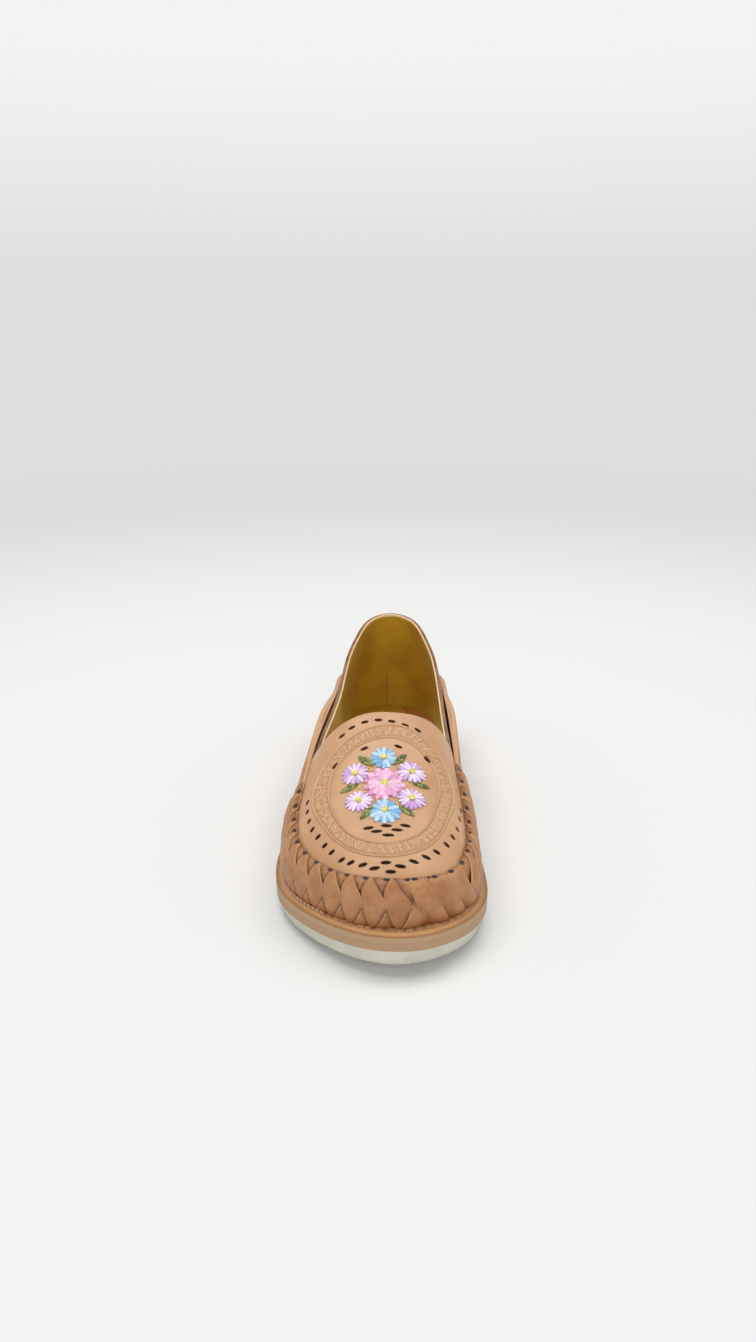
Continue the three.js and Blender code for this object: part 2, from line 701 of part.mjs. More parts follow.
// The heel counter: a tall hollow wall inside the straps, from under one wing of the vamp to the other.
const counterFront = 0.38;
const counterSteps = 42;
function counterGeometry() {
  const frontTurn = Math.acos(1 - 2 * counterFront);
  const low = innerLevels.slice(0, 4);
  const high = [0.5, 0.97, 1];
  const sections = [];
  for (let i = 0; i <= counterSteps; i++) {
    const turn = frontTurn + ((2 * Math.PI - 2 * frontTurn) * i) / counterSteps;
    const top = heelHeight * collarAt(baseShare(turn));
    const lowHeights = low.map((level) => fit + (sideHeight - fit) * level);
    const highHeights = high.map((level) => THREE.MathUtils.lerp(lowHeights[3], top, level));
    const heights = [...lowHeights, ...highHeights];
    const wall = (out) => heights.map((height) => onLast(turn, climbFor(turn, height), out));
    sections.push([...wall(0), ...wall(-counterThickness).reverse()]);
  }
  return turnedOut(barGeometry(sections, false));
}

function makeMesh(name, geometry, color, roughness) {
  const material = new THREE.MeshStandardMaterial({ color, roughness, metalness: 0 });
  const mesh = new THREE.Mesh(geometry, material);
  mesh.name = name;
  return mesh;
}

// The middle of the sole's outline goes to X = 0.
function outlineMiddle() {
  const xs = [];
  for (let i = 0; i < 2 * soleSteps; i++) xs.push(outlineAt((Math.PI * i) / soleSteps).x);
  return (Math.min(...xs) + Math.max(...xs)) / 2;
}

const group = new THREE.Group();
group.add(makeMesh("outsole", turnedOut(outsoleGeometry()), 0xe3e5de, 0.75));
group.add(makeMesh("midsole", turnedOut(midsoleGeometry()), 0xc2a789, 0.8));
group.add(makeMesh("welt", turnedOut(weltGeometry()), 0xcb9352, 0.6));
group.add(makeMesh("insole", turnedOut(insoleGeometry()), 0x9a5f24, 0.65));
group.add(makeMesh("woven_upper", wovenGeometry(), 0xc49068, 0.55));
group.add(makeMesh("vamp_plug", vampGeometry(), 0xdeb487, 0.55));
group.add(makeMesh("heel_counter", counterGeometry(), 0xa07850, 0.65));
group.position.x = -outlineMiddle();

export default group;
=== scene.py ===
# A woven leather huarache for the right foot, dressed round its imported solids.
# Metres. The toe points to -Y, the heel to +Y and the inner side of the foot to +X.
import math
import bpy
import numpy as np
from mathutils import Matrix, Vector, kdtree


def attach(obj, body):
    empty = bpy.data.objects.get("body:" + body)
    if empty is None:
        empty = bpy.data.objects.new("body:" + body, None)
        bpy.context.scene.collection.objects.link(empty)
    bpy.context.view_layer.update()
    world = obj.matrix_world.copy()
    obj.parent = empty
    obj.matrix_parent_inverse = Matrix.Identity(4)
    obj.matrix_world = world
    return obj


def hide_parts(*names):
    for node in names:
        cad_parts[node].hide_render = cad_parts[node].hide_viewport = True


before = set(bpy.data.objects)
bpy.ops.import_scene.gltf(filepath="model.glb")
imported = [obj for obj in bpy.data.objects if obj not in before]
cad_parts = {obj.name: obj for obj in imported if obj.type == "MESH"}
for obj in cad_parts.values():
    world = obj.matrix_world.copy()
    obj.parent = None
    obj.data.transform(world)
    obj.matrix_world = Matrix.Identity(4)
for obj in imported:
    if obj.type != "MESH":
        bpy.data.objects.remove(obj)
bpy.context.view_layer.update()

# The last and the sole, with the same sizes as the solids.
last = {
    "soleLength": 0.250, "ballWidth": 0.090, "instepHeight": 0.056, "heelHeight": 0.062,
    "sideHeight": 0.032, "weltTop": 0.012, "flangeWidth": 0.004, "bellyWidth": 0.0016,
    "bellyHeight": 0.016, "featherRoll": 0.0015, "rollHeight": 0.0025, "strapFlare": 0.0026,
    "toeSpring": 0.006, "springLength": 0.080, "archRise": 0.0012, "archStart": 0.46, "archEnd": 0.74,
    "toePole": 0.3, "heelPole": 0.8, "poleBlend": 0.014, "leanPower": 1.6, "fit": 0.0003, "innerDrop": 0.12,
    "toeShare": 0.19, "toePower": 2.25, "heelShare": 0.15, "heelPower": 2.1,
}

# share of the length, centre line's shift and half width over the ball width, flange over its width
soleRows = [
    (0.0, 0.112, 0.36, 1.875), (0.07, 0.09, 0.43, 1.55), (0.15, 0.053, 0.48, 1.35),
    (0.24, 0.027, 0.498, 1.35), (0.33, 0.02, 0.478, 1.05), (0.46, 0.02, 0.428, 0.975),
    (0.6, 0.028, 0.384, 0.9), (0.74, 0.03, 0.364, 0.85), (0.86, 0.024, 0.366, 0.9),
    (1.0, 0.016, 0.35, 1.1),
]
# share, ridge over the instep height, exponent of the section, belly over its width
lastRows = [
    (0.0, 0.393, 2.6, 0), (0.08, 0.509, 2.57, 0.31), (0.16, 0.563, 2.54, 0.5), (0.24, 0.643, 2.5, 0.63),
    (0.32, 0.768, 2.46, 0.75), (0.42, 0.973, 2.4, 0.88), (0.52, 1.179, 2.34, 0.94),
    (0.66, 1.5, 2.3, 1), (0.8, 1.821, 2.3, 1), (1.0, 2, 2.3, 0.94),
]
# share, top of the weave over the side height, collar over the heel height, lean in, flare over its size
sideRows = [
    (0, 0.52, 0.41, 0, 0), (0.05, 0.51, 0.41, 0, 0), (0.105, 0.54, 0.41, 0, 0), (0.139, 0.58, 0.41, 0, 0),
    (0.184, 0.625, 0.41, 0, 0), (0.241, 0.69, 0.41, 0, 0), (0.29, 0.8, 0.41, 0, 0),
    (0.344, 0.92, 0.41, 0, 0), (0.389, 1, 0.415, 0, 0), (0.45, 1, 0.435, 0, 0.08),
    (0.475, 1, 0.452, 0.01, 0.27), (0.52, 1, 0.505, 0.03, 0.58), (0.6, 1, 0.515, 0.067, 1),
    (0.68, 1, 0.53, 0.09, 0.73), (0.76, 0.97, 0.565, 0.12, 0.12), (0.85, 0.92, 0.68, 0.18, 0),
    (0.91, 0.9, 0.82, 0.18, 0), (0.96, 0.9, 0.94, 0.12, 0), (1, 0.9, 1, 0.07, 0),
]


def column(rows, place):  # a smooth function through one column of a table
    x = np.array([row[0] for row in rows], float)
    y = np.array([row[place] for row in rows], float)
    slopes = np.gradient(y)
    slopes[1:-1] = (y[2:] - y[:-2]) / (x[2:] - x[:-2])
    slopes[0] = (y[1] - y[0]) / (x[1] - x[0])
    slopes[-1] = (y[-1] - y[-2]) / (x[-1] - x[-2])

    def at(share):
        a = np.clip(share, 0, 1)
        i = np.clip(np.searchsorted(x, a, side="left") - 1, 0, len(x) - 2)
        span = x[i + 1] - x[i]
        t = (a - x[i]) / span
        rise = y[i + 1] - y[i]
        bend = (1 - t) * slopes[i] * span - t * slopes[i + 1] * span + (2 * t - 1) * rise
        return y[i] + t * rise + t * (1 - t) * bend
    return at


shiftAt, widthAt, flangeAt = (column(soleRows, i) for i in (1, 2, 3))
ridgeAt, squareAt, bellyAt = (column(lastRows, i) for i in (1, 2, 3))
edgeAt, collarAt, leanAt, flareAt = (column(sideRows, i) for i in (1, 2, 3, 4))


def smooth(low, high, value):
    t = np.clip((value - low) / (high - low), 0, 1)
    return t * t * (3 - 2 * t)


def riseAt(s):  # toe spring and a low arch
    spring = last["toeSpring"] * np.clip(1 - s / last["springLength"], 0, 1) ** 2
    waist = (s / last["soleLength"] - last["archStart"]) / (last["archEnd"] - last["archStart"])
    return spring + last["archRise"] * np.sin(np.pi * np.clip(waist, 0, 1)) ** 2


def centreAt(s):
    return last["ballWidth"] * shiftAt(s / last["soleLength"])


def baseShare(turn):
    return (1 - np.cos(turn)) / 2


def rimPoint(turn):
    share = np.clip(baseShare(turn), 0, 1)
    toe = np.clip(share / last["toeShare"], 0, 1)
    heel = np.clip((1 - share) / last["heelShare"], 0, 1)
    half = last["ballWidth"] * widthAt(share)
    half = half * (1 - (1 - toe) ** last["toePower"]) ** (1 / last["toePower"])
    half = half * (1 - (1 - heel) ** last["heelPower"]) ** (1 / last["heelPower"])
    s = last["soleLength"] * share
    return centreAt(s) + np.where(np.sin(turn) >= 0, -1, 1) * half, s


def outlineAt(turn, inset=0.0):  # the sole's outline: turn 0 at the toe, pi at the heel, + outer side
    x, s = rimPoint(turn)
    beforeX, beforeS = rimPoint(turn - 1e-3)
    afterX, afterS = rimPoint(turn + 1e-3)
    length = np.hypot(afterX - beforeX, afterS - beforeS)
    return x + (afterS - beforeS) / length * inset, s + (beforeX - afterX) / length * inset


def featherAt(turn, inset=0.0):  # where the upper meets the welt
    return outlineAt(turn, last["flangeWidth"] * flangeAt(baseShare(turn)) + inset)


def betweenPoles(s):
    def soft(x):
        return last["poleBlend"] * np.log1p(np.exp(x / last["poleBlend"]))
    toePole = last["toePole"] * last["soleLength"]
    return toePole + soft(s - toePole) - soft(s - last["heelPole"] * last["soleLength"])


def lastPoint(turn, climb):  # climb 0 at the feather edge, 1 on the ridge
    baseX, baseS = featherAt(turn)
    pole = betweenPoles(baseS)
    poleX = centreAt(pole)
    square = squareAt(pole / last["soleLength"])
    angle = np.clip(climb, 0, 1) * np.pi / 2
    reach = np.abs(np.cos(angle)) ** (2 / square)
    lift = np.abs(np.sin(angle)) ** (2 / square)
    dx, ds = baseX - poleX, baseS - pole
    far = np.hypot(dx, ds)
    height = ridgeAt((pole + ds * reach) / last["soleLength"]) * last["instepHeight"] * lift
    leanIn = leanAt(baseShare(turn)) * (height / last["instepHeight"]) ** last["leanPower"]
    swell = height / last["bellyHeight"] * np.exp(1 - height / last["bellyHeight"])
    roll = last["featherRoll"] * np.exp(-height / last["rollHeight"])
    belly = last["bellyWidth"] * bellyAt(baseShare(turn)) * swell - roll
    scale = reach * (1 - leanIn) + belly * reach / far
    return np.stack([poleX + dx * scale, pole + ds * scale, height], -1)


rims = np.concatenate([rimPoint(np.pi * np.arange(68) / 34)[0]])
middleX = (rims.min() + rims.max()) / 2  # the middle of the sole's outline goes to X = 0


def onLast(turn, climb, out=0.0):  # a point out from the last, in the part's own frame
    turn, climb, out = np.broadcast_arrays(np.asarray(turn, float), climb, out)
    step = 2e-3
    nearTop = np.minimum(climb, 1 - 4 * step)
    around = lastPoint(turn + step, nearTop) - lastPoint(turn - step, nearTop)
    up = lastPoint(turn, np.minimum(climb + step, 1)) - lastPoint(turn, np.maximum(climb - step, 0))
    normal = np.cross(up, around)
    normal[..., 2] = np.maximum(normal[..., 2], 0)
    normal /= np.linalg.norm(normal, axis=-1, keepdims=True)
    p = lastPoint(turn, climb) + normal * out[..., None]
    return np.stack([p[..., 0] - middleX, p[..., 1] - last["soleLength"] / 2,
                     riseAt(p[..., 1]) + last["weltTop"] + p[..., 2]], -1)


def climbFor(turn, height):  # the climb at which the last has a height above the welt
    low = np.zeros(np.broadcast(turn, height).shape)
    high = np.ones_like(low)
    for _ in range(22):
        middle = (low + high) / 2
        below = lastPoint(turn, middle)[..., 2] < height
        low, high = np.where(below, middle, low), np.where(below, high, middle)
    return (low + high) / 2


turnSteps = np.pi * np.arange(401) / 400
girthTables = {}
for side in (1, -1):
    edge = np.stack(featherAt(side * turnSteps), -1)
    lengths = np.hypot(*np.diff(edge, axis=0).T)
    girthTables[side] = np.concatenate([[0], np.cumsum(lengths)])


def turnAt(girth):  # + on the outer side, measured along the feather edge from the toe
    outer = np.interp(np.abs(girth), girthTables[1], turnSteps)
    inner = np.interp(np.abs(girth), girthTables[-1], turnSteps)
    return np.where(np.asarray(girth) >= 0, outer, -inner)


def wallTop(turn):  # the woven wall's height, lower along the inner side
    share = baseShare(turn)
    inner = (np.sin(turn) < 0) * smooth(0.12, 0.26, share) * smooth(0.6, 0.48, share)
    return last["sideHeight"] * edgeAt(share) * (1 - last["innerDrop"] * inner)


def wallPoint(turn, level, out):  # on the woven wall: level 0 at the welt, 1 at its top edge
    top = wallTop(turn)
    height = last["fit"] + (top - last["fit"]) * level
    flare = last["strapFlare"] * flareAt(baseShare(turn)) * np.clip(level, 0, 1.1) ** 2
    return onLast(turn, climbFor(turn, height), out + flare)


coarseTurn, coarseClimb = np.meshgrid(np.radians(np.arange(-96, 97, 2)), np.linspace(0.02, 1, 50))
coarse = onLast(coarseTurn.ravel(), coarseClimb.ravel())
coarseTree = kdtree.KDTree(len(coarse))
for i, p in enumerate(coarse):
    coarseTree.insert((p[0], p[1], 0), i)
coarseTree.balance()


def onPlan(x, y, out=0.0):  # on the vamp over a place in plan
    x, y, out = (np.ravel(a) for a in np.broadcast_arrays(np.asarray(x, float), y, out))
    near = [coarseTree.find((a, b, 0))[1] for a, b in zip(x, y)]
    turn, climb = coarseTurn.ravel()[near], np.minimum(coarseClimb.ravel()[near], 0.985)
    step = 1e-3
    for _ in range(9):
        here = onLast(turn, climb)
        a = (onLast(turn + step, climb) - here) / step
        b = (onLast(turn, climb + step) - here) / step
        wantX, wantY = x - here[:, 0], y - here[:, 1]
        size = a[:, 0] * b[:, 1] - a[:, 1] * b[:, 0]
        size = np.where(np.abs(size) < 1e-7, 1e-7, size)
        turn = turn + np.clip((wantX * b[:, 1] - wantY * b[:, 0]) / size, -0.1, 0.1)
        climb = np.clip(climb + np.clip((wantY * a[:, 0] - wantX * a[:, 1]) / size, -0.1, 0.1), 0.01, 0.995)
    here = onLast(turn, climb)
    rest = np.stack([x - here[:, 0], y - here[:, 1], 0 * x], -1)  # what is left beside the ridge
    return onLast(turn, climb, out) + rest


# Mesh making

def deselectAll():
    bpy.ops.object.select_all(action="DESELECT")


def makeActive(piece):
    deselectAll()
    piece.select_set(True)
    bpy.context.view_layer.objects.active = piece


def applyModifier(piece, kind, **settings):
    makeActive(piece)
    modifier = piece.modifiers.new(kind.title(), kind)
    for key, value in settings.items():
        setattr(modifier, key, value)
    bpy.ops.object.modifier_apply(modifier=modifier.name)


def editMesh(piece, *steps):  # runs edit-mode operators on the whole mesh
    makeActive(piece)
    bpy.ops.object.mode_set(mode="EDIT")
    bpy.ops.mesh.select_all(action="SELECT")
    for step, settings in steps:
        step(**settings)
    bpy.ops.object.mode_set(mode="OBJECT")


def finishSurface(piece, angle=40):
    makeActive(piece)
    bpy.ops.object.shade_smooth_by_angle(angle=math.radians(angle))
    return piece


def vertexPlaces(piece):
    places = np.empty(len(piece.data.vertices) * 3, np.float32)
    piece.data.vertices.foreach_get("co", places)
    return places.reshape(-1, 3).astype(float)


def movePoints(piece, places):
    piece.data.vertices.foreach_set("co", np.asarray(places, np.float32).ravel())
    piece.data.update()


def setValue(piece, name, values):  # a value on each vertex, which the materials read
    attribute = piece.data.attributes.get(name) or piece.data.attributes.new(name, "FLOAT", "POINT")
    attribute.data.foreach_set("value", np.asarray(values, np.float32).ravel())


def getValue(piece, name):
    values = np.empty(len(piece.data.vertices), np.float32)
    piece.data.attributes[name].data.foreach_get("value", values)
    return values.astype(float)


def flatSheet(name, columns, rows):  # a flat grid, and each vertex's place across and along it, from 0 to 1
    deselectAll()
    bpy.ops.mesh.primitive_grid_add(x_subdivisions=columns, y_subdivisions=rows, size=1)
    piece = bpy.context.active_object
    piece.name = piece.data.name = name
    flat = vertexPlaces(piece) + 0.5
    return piece, flat[:, 0], flat[:, 1]


def faceOut(piece):  # turns a sheet's faces outward from the middle of the shoe
    mesh = piece.data
    centres = np.empty(len(mesh.polygons) * 3)
    normals = np.empty(len(mesh.polygons) * 3)
    mesh.polygons.foreach_get("center", centres)
    mesh.polygons.foreach_get("normal", normals)
    centres, normals = centres.reshape(-1, 3), normals.reshape(-1, 3)
    if np.sum(normals * (centres - np.array([0, 0, -0.05]))) < 0:
        editMesh(piece, (bpy.ops.mesh.flip_normals, {}))


def joinPieces(name, pieces):
    makeActive(pieces[0])
    for piece in pieces:
        piece.select_set(True)
    bpy.ops.object.join()
    pieces[0].name = pieces[0].data.name = name
    return pieces[0]


def ready(piece, slot, material, *nodes):  # rides the shoe, takes a material and may stand for solids; slot is not used
    piece.data.materials.clear()
    piece.data.materials.append(material)
    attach(piece, "root")
    if nodes:
        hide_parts(*nodes)
    return piece


# Materials

class Wire:  # a socket that sums and products can be written with
    def __init__(self, finish, socket):
        self.finish, self.socket = finish, socket

    def maths(self, operation, *values):
        return self.finish.node("ShaderNodeMath", {"operation": operation}, dict(enumerate(values)))

    def __add__(self, other):
        return self.maths("ADD", self, other)

    def __radd__(self, other):
        return self.maths("ADD", other, self)

    def __sub__(self, other):
        return self.maths("SUBTRACT", self, other)

    def __rsub__(self, other):
        return self.maths("SUBTRACT", other, self)

    def __mul__(self, other):
        return self.maths("MULTIPLY", self, other)

    def __rmul__(self, other):
        return self.maths("MULTIPLY", other, self)


    def between(self, low, high):  # 0 below low, 1 above high
        return self.finish.node("ShaderNodeMapRange", {"interpolation_type": "SMOOTHSTEP"},
                                {"Value": self, "From Min": low, "From Max": high})


def tint(red, green, blue):  # a screen colour as linear values
    return tuple((c / 255 / 12.92) if c / 255 < 0.04045 else ((c / 255 + 0.055) / 1.055) ** 2.4
                 for c in (red, green, blue)) + (1.0,)


class Finish:  # a material being made
    def __init__(self, name, **settings):
        self.material = bpy.data.materials.new(name)
        self.material.use_nodes = True
        self.nodes = self.material.node_tree.nodes
        self.links = self.material.node_tree.links
        self.shader = self.nodes["Principled BSDF"]
        self.height = 0.0
        for key, value in settings.items():
            self.shader.inputs[key.replace("_", " ").title()].default_value = value

    def feed(self, socket, value):
        if isinstance(value, Wire):
            self.links.new(value.socket, socket)
        else:
            socket.default_value = value

    def node(self, kind, settings=None, inputs=None, output=0):
        made = self.nodes.new(kind)
        for key, value in (settings or {}).items():
            setattr(made, key, value)
        for key, value in (inputs or {}).items():
            self.feed(made.inputs[key], value)
        return Wire(self, made.outputs[output])

    def value(self, name):
        return self.node("ShaderNodeAttribute", {"attribute_name": name}, output="Fac")

    def place(self, stretch=(1, 1, 1)):
        spot = self.node("ShaderNodeTexCoord", output="Object")
        return self.node("ShaderNodeMapping", None, {"Vector": spot, "Scale": stretch})

    def noise(self, scale, detail=3.0, roughness=0.5):
        return self.node("ShaderNodeTexNoise", None, {"Vector": self.place(), "Scale": scale,
                                                      "Detail": detail, "Roughness": roughness})

    def cells(self, scale):
        return self.node("ShaderNodeTexVoronoi", None, {"Vector": self.place(), "Scale": scale})

    def mix(self, share, first, second):
        made = self.nodes.new("ShaderNodeMix")
        made.data_type = "RGBA"
        for place, value in ((0, share), (6, first), (7, second)):
            self.feed(made.inputs[place], value)
        return Wire(self, made.outputs[2])

    def bump(self, height, distance):
        inputs = {"Height": height, "Distance": distance, "Strength": 1.0}
        normal = self.node("ShaderNodeBump", None, inputs)
        self.feed(self.shader.inputs["Normal"], normal)

    def set(self, **inputs):
        for key, value in inputs.items():
            self.feed(self.shader.inputs[key.replace("_", " ").title()], value)
        return self.material


def leather(name, light, deep, grain=900, roughness=0.5, mottle=60):  # smooth tanned leather
    finish = Finish(name, roughness=roughness)
    cloud = finish.noise(mottle, 4, 0.6)
    colour = finish.mix(cloud.between(0.35, 0.7), tint(*light), tint(*deep))
    finish.bump(finish.cells(grain), 0.00006)
    return finish.set(base_color=colour)


# The sole

sole = {
    "outsole": {"low": 0.0, "high": 0.0057, "insetLow": 0.0028, "insetHigh": 0.0, "round": 0.0008},
    "midsole": {"low": 0.0057, "high": 0.0094, "insetLow": 0.0003, "insetHigh": 0.0003, "round": 0.0003},
    "welt": {"low": 0.0094, "high": 0.012, "insetLow": 0.0, "insetHigh": 0.0, "round": 0.0008},
    "rows": 200, "columns": 26,
}


def soleLayer(name, sizes, outline):  # a sheet with the sole's outline, extruded up and rounded at its rims
    piece, across, along = flatSheet(name, sole["columns"], sole["rows"])
    setValue(piece, "across", across)
    setValue(piece, "along", along)
    editMesh(piece, (bpy.ops.mesh.extrude_region_move, {"TRANSFORM_OT_translate": {"value": (0, 0, 1)}}))
    across, along = getValue(piece, "across"), getValue(piece, "along")
    high = vertexPlaces(piece)[:, 2] > 0.5
    turn = np.pi * along
    low = sizes["insetLow"] * np.abs(np.sin(turn)) ** 0.7
    inset = np.where(high, sizes["insetHigh"], low)
    left, right = (np.stack(outline(side * turn, inset), -1) for side in (1, -1))
    flat = left + (right - left) * across[:, None]
    lift = np.where(high, sizes["high"], sizes["low"]) + riseAt(flat[:, 1])
    movePoints(piece, np.stack([flat[:, 0] - middleX, flat[:, 1] - last["soleLength"] / 2, lift], -1))
    editMesh(piece, (bpy.ops.mesh.remove_doubles, {"threshold": 1e-6}),
             (bpy.ops.mesh.normals_make_consistent, {"inside": False}))
    applyModifier(piece, "BEVEL", width=sizes["round"], segments=3, limit_method="ANGLE",
                  angle_limit=math.radians(50))
    return finishSurface(piece, 50)


rimTurns = np.linspace(0, 2 * np.pi, 1440, endpoint=False)
rimPlan = np.stack(outlineAt(rimTurns), -1) - [middleX, last["soleLength"] / 2]
rimTree = kdtree.KDTree(len(rimPlan))
for i, p in enumerate(rimPlan):
    rimTree.insert((p[0], p[1], 0), i)
rimTree.balance()
rimLengths = np.concatenate([[0], np.cumsum(np.hypot(*np.diff(rimPlan, axis=0).T))])


def aroundRim(piece):  # the distance in from the sole's outline, along it, and up from the bent sole
    places = vertexPlaces(piece)
    found = [rimTree.find((x, y, 0)) for x, y in places[:, :2]]
    girth = rimLengths[[f[1] for f in found]]
    setValue(piece, "rim", [f[2] for f in found])
    setValue(piece, "girth", np.minimum(girth, rimLengths[-1] - girth))
    setValue(piece, "height", places[:, 2] - riseAt(places[:, 1] + last["soleLength"] / 2))


def soleFinish(name, side, top, burnished):  # a cut side, a dressed top and a burnished, speckled rim
    finish = Finish(name, roughness=0.6)
    rim, height, girth = finish.value("rim"), finish.value("height"), finish.value("girth")
    lines = finish.node("ShaderNodeTexNoise", {"noise_dimensions": "1D"}, {"W": rim * 2200, "Detail": 2.0})
    cloud = finish.noise(90, 4, 0.6).between(0.3, 0.7)
    colour = finish.mix(cloud, tint(*top), tint(*[c * 0.95 for c in top]))
    colour = finish.mix(lines.between(0.45, 0.75) * 0.35, colour, tint(*burnished))
    speckle = finish.noise(2400, 3, 0.8).between(0.35, 0.65)
    colour = finish.mix(rim.between(0.0024, 0.0003) * (speckle * 0.6 + 0.3), colour, tint(*burnished))
    upright = finish.node("ShaderNodeTexNoise", {"noise_dimensions": "1D"},
                          {"W": girth * 1500, "Detail": 3.0})
    cut = finish.mix(upright.between(0.3, 0.75), tint(*side), tint(*[c * 0.9 for c in side]))
    colour = finish.mix(height.between(0.0113, 0.0117), cut, colour)
    finish.bump(lines * height.between(0.0113, 0.0117) + upright * 0.6 + finish.cells(900) * 0.6, 0.00010)
    return finish.set(base_color=colour)


rubber = Finish("outsole_foam", roughness=0.8)
rubberCloud = rubber.noise(60, 4, 0.6).between(0.3, 0.75)
rubberColour = rubber.mix(rubberCloud, tint(208, 206, 190), tint(190, 188, 170))
lowEdge = rubber.value("height").between(0.0012, 0.0) * rubber.noise(700, 3, 0.7).between(0.4, 0.65)
rubberColour = rubber.mix(lowEdge * 0.5, rubberColour, tint(150, 150, 138))
rubber.bump(rubber.noise(900, 4, 0.7) + rubber.cells(300) * 0.5, 0.00012)
soleMaterials = {
    "outsole": rubber.set(base_color=rubberColour),
    "midsole": soleFinish("midsole_board", (186, 150, 114), (178, 144, 106), (150, 110, 74)),
    "welt": soleFinish("welt_leather", (190, 156, 120), (228, 176, 118), (124, 72, 30)),
}
soleSlots = {"outsole": "outsole_foam", "midsole": "midsole_board", "welt": "welt_leather"}
for name, slot in soleSlots.items():
    piece = soleLayer(name + "_layer", sole[name], outlineAt)
    aroundRim(piece)
    ready(piece, slot, soleMaterials[name], name)

insoleSizes = {"low": 0.0123, "high": 0.0148, "insetLow": 0.0, "insetHigh": 0.0, "round": 0.0006}
piece = soleLayer("insole_board", insoleSizes, lambda turn, inset: featherAt(turn, inset + 0.0042))
finish = Finish("insole_leather", roughness=0.6)
spot = finish.place((60, 30, 1))  # a lining-coloured pad under the heel
far = finish.node("ShaderNodeVectorMath", {"operation": "DISTANCE"},
                  {0: spot, 1: (-0.5, 2.9, 0.015)}, "Value")
colour = finish.mix(finish.noise(60, 4, 0.6).between(0.35, 0.7), tint(178, 110, 44), tint(150, 88, 30))
colour = finish.mix(far.between(1.02, 0.98), colour, tint(178, 136, 26))
finish.bump(finish.cells(800), 0.00006)
ready(piece, "insole_leather", finish.set(base_color=colour), "insole")
print("sole and insole made")


# The vamp

vamp = {
    "columns": 240, "rows": 110, "thickness": 0.0018, "tuck": 0.003,
    "ridgeTurn": 80, "outerTurn": 77.6, "innerTurn": 85.5,
    "slotLength": 0.004, "slotWidth": 0.00165,
}
# along the sole, across it, turn in degrees, length over the slot's own
slotRows = [
    (0.379, -0.198, 32, 0.85), (0.39, -0.15, 22, 0.85), (0.397, -0.086, 10, 0.85), (0.4, -0.018, 0, 0.9),
    (0.398, 0.05, -8, 0.85), (0.394, 0.118, -16, 0.85), (0.392, 0.181, -24, 0.85),
    (0.312, -0.217, 52, 0.9), (0.339, -0.08, 28, 0.9), (0.345, 0.086, -22, 0.9), (0.333, 0.228, -38, 0.95),
    (0.16, -0.064, 8, 1.05), (0.164, 0.018, 0, 1.1), (0.167, 0.104, -6, 1.05), (0.152, -0.029, 4, 1.1),
    (0.156, 0.063, 0, 1.1), (0.144, 0.02, 0, 1.15),
    (0.26, -0.345, 74, 0.7), (0.235, -0.342, 80, 0.65), (0.208, -0.332, 66, 0.65), (0.185, -0.317, 54, 0.65),
    (0.165, -0.292, 48, 0.7), (0.144, -0.264, 42, 0.7), (0.127, -0.236, 38, 0.7),
    (0.108, -0.197, 30, 0.75), (0.099, -0.16, 24, 0.8), (0.091, -0.11, 14, 0.9), (0.083, -0.062, 8, 1),
    (0.091, -0.01, 2, 1), (0.077, 0.006, 0, 1), (0.086, 0.051, -4, 1.05), (0.097, 0.114, -12, 0.95),
    (0.11, 0.174, -18, 0.95), (0.126, 0.228, -26, 0.8),
    (0.149, 0.283, -38, 0.75), (0.173, 0.321, -46, 0.7), (0.202, 0.353, -56, 0.7), (0.241, 0.376, -66, 0.7),
    (0.274, 0.39, -70, 0.65), (0.312, 0.401, -74, 0.65),
]


def vampPoint(across, row, out):  # across -1 to 1, + on the outer side; row 0 at the weave, 1 on the ridge
    side = np.where(across >= 0, 1, -1)
    wing = np.where(across >= 0, vamp["outerTurn"], vamp["innerTurn"])
    turn = side * np.radians(vamp["ridgeTurn"] + (wing - vamp["ridgeTurn"]) * (1 - row) ** 2) * np.abs(across)
    low = climbFor(turn, wallTop(turn) - vamp["tuck"])
    square = squareAt(betweenPoles(featherAt(turn)[1]) / last["soleLength"])
    reach = np.cos(low * np.pi / 2) ** (2 / square) * (1 - row)
    climb = 2 / np.pi * np.arccos(np.clip(reach ** (square / 2), 0, 1))
    place = onLast(turn, climb, out)
    ridge = (onLast(turn, 1.0, out) + onLast(-turn, 1.0, out)) / 2
    return np.where((row > 1 - 1e-6)[..., None], ridge, place)


def slotFrames():  # centre, normal, long direction and lengths of each slot
    frames = []
    for along, across, turn, long in slotRows:
        s = along * last["soleLength"]
        x = centreAt(s) + across * last["ballWidth"] - middleX
        y = s - last["soleLength"] / 2
        centre = Vector(onPlan(x, y)[0])
        normal = (Vector(onPlan(x, y, 0.001)[0]) - centre).normalized()
        level = Vector((1, 0, 0)) - normal * normal.x
        direction = Matrix.Rotation(math.radians(turn), 3, normal) @ level.normalized()
        frames.append((centre, normal, direction, long * vamp["slotLength"], vamp["slotWidth"]))
    return frames


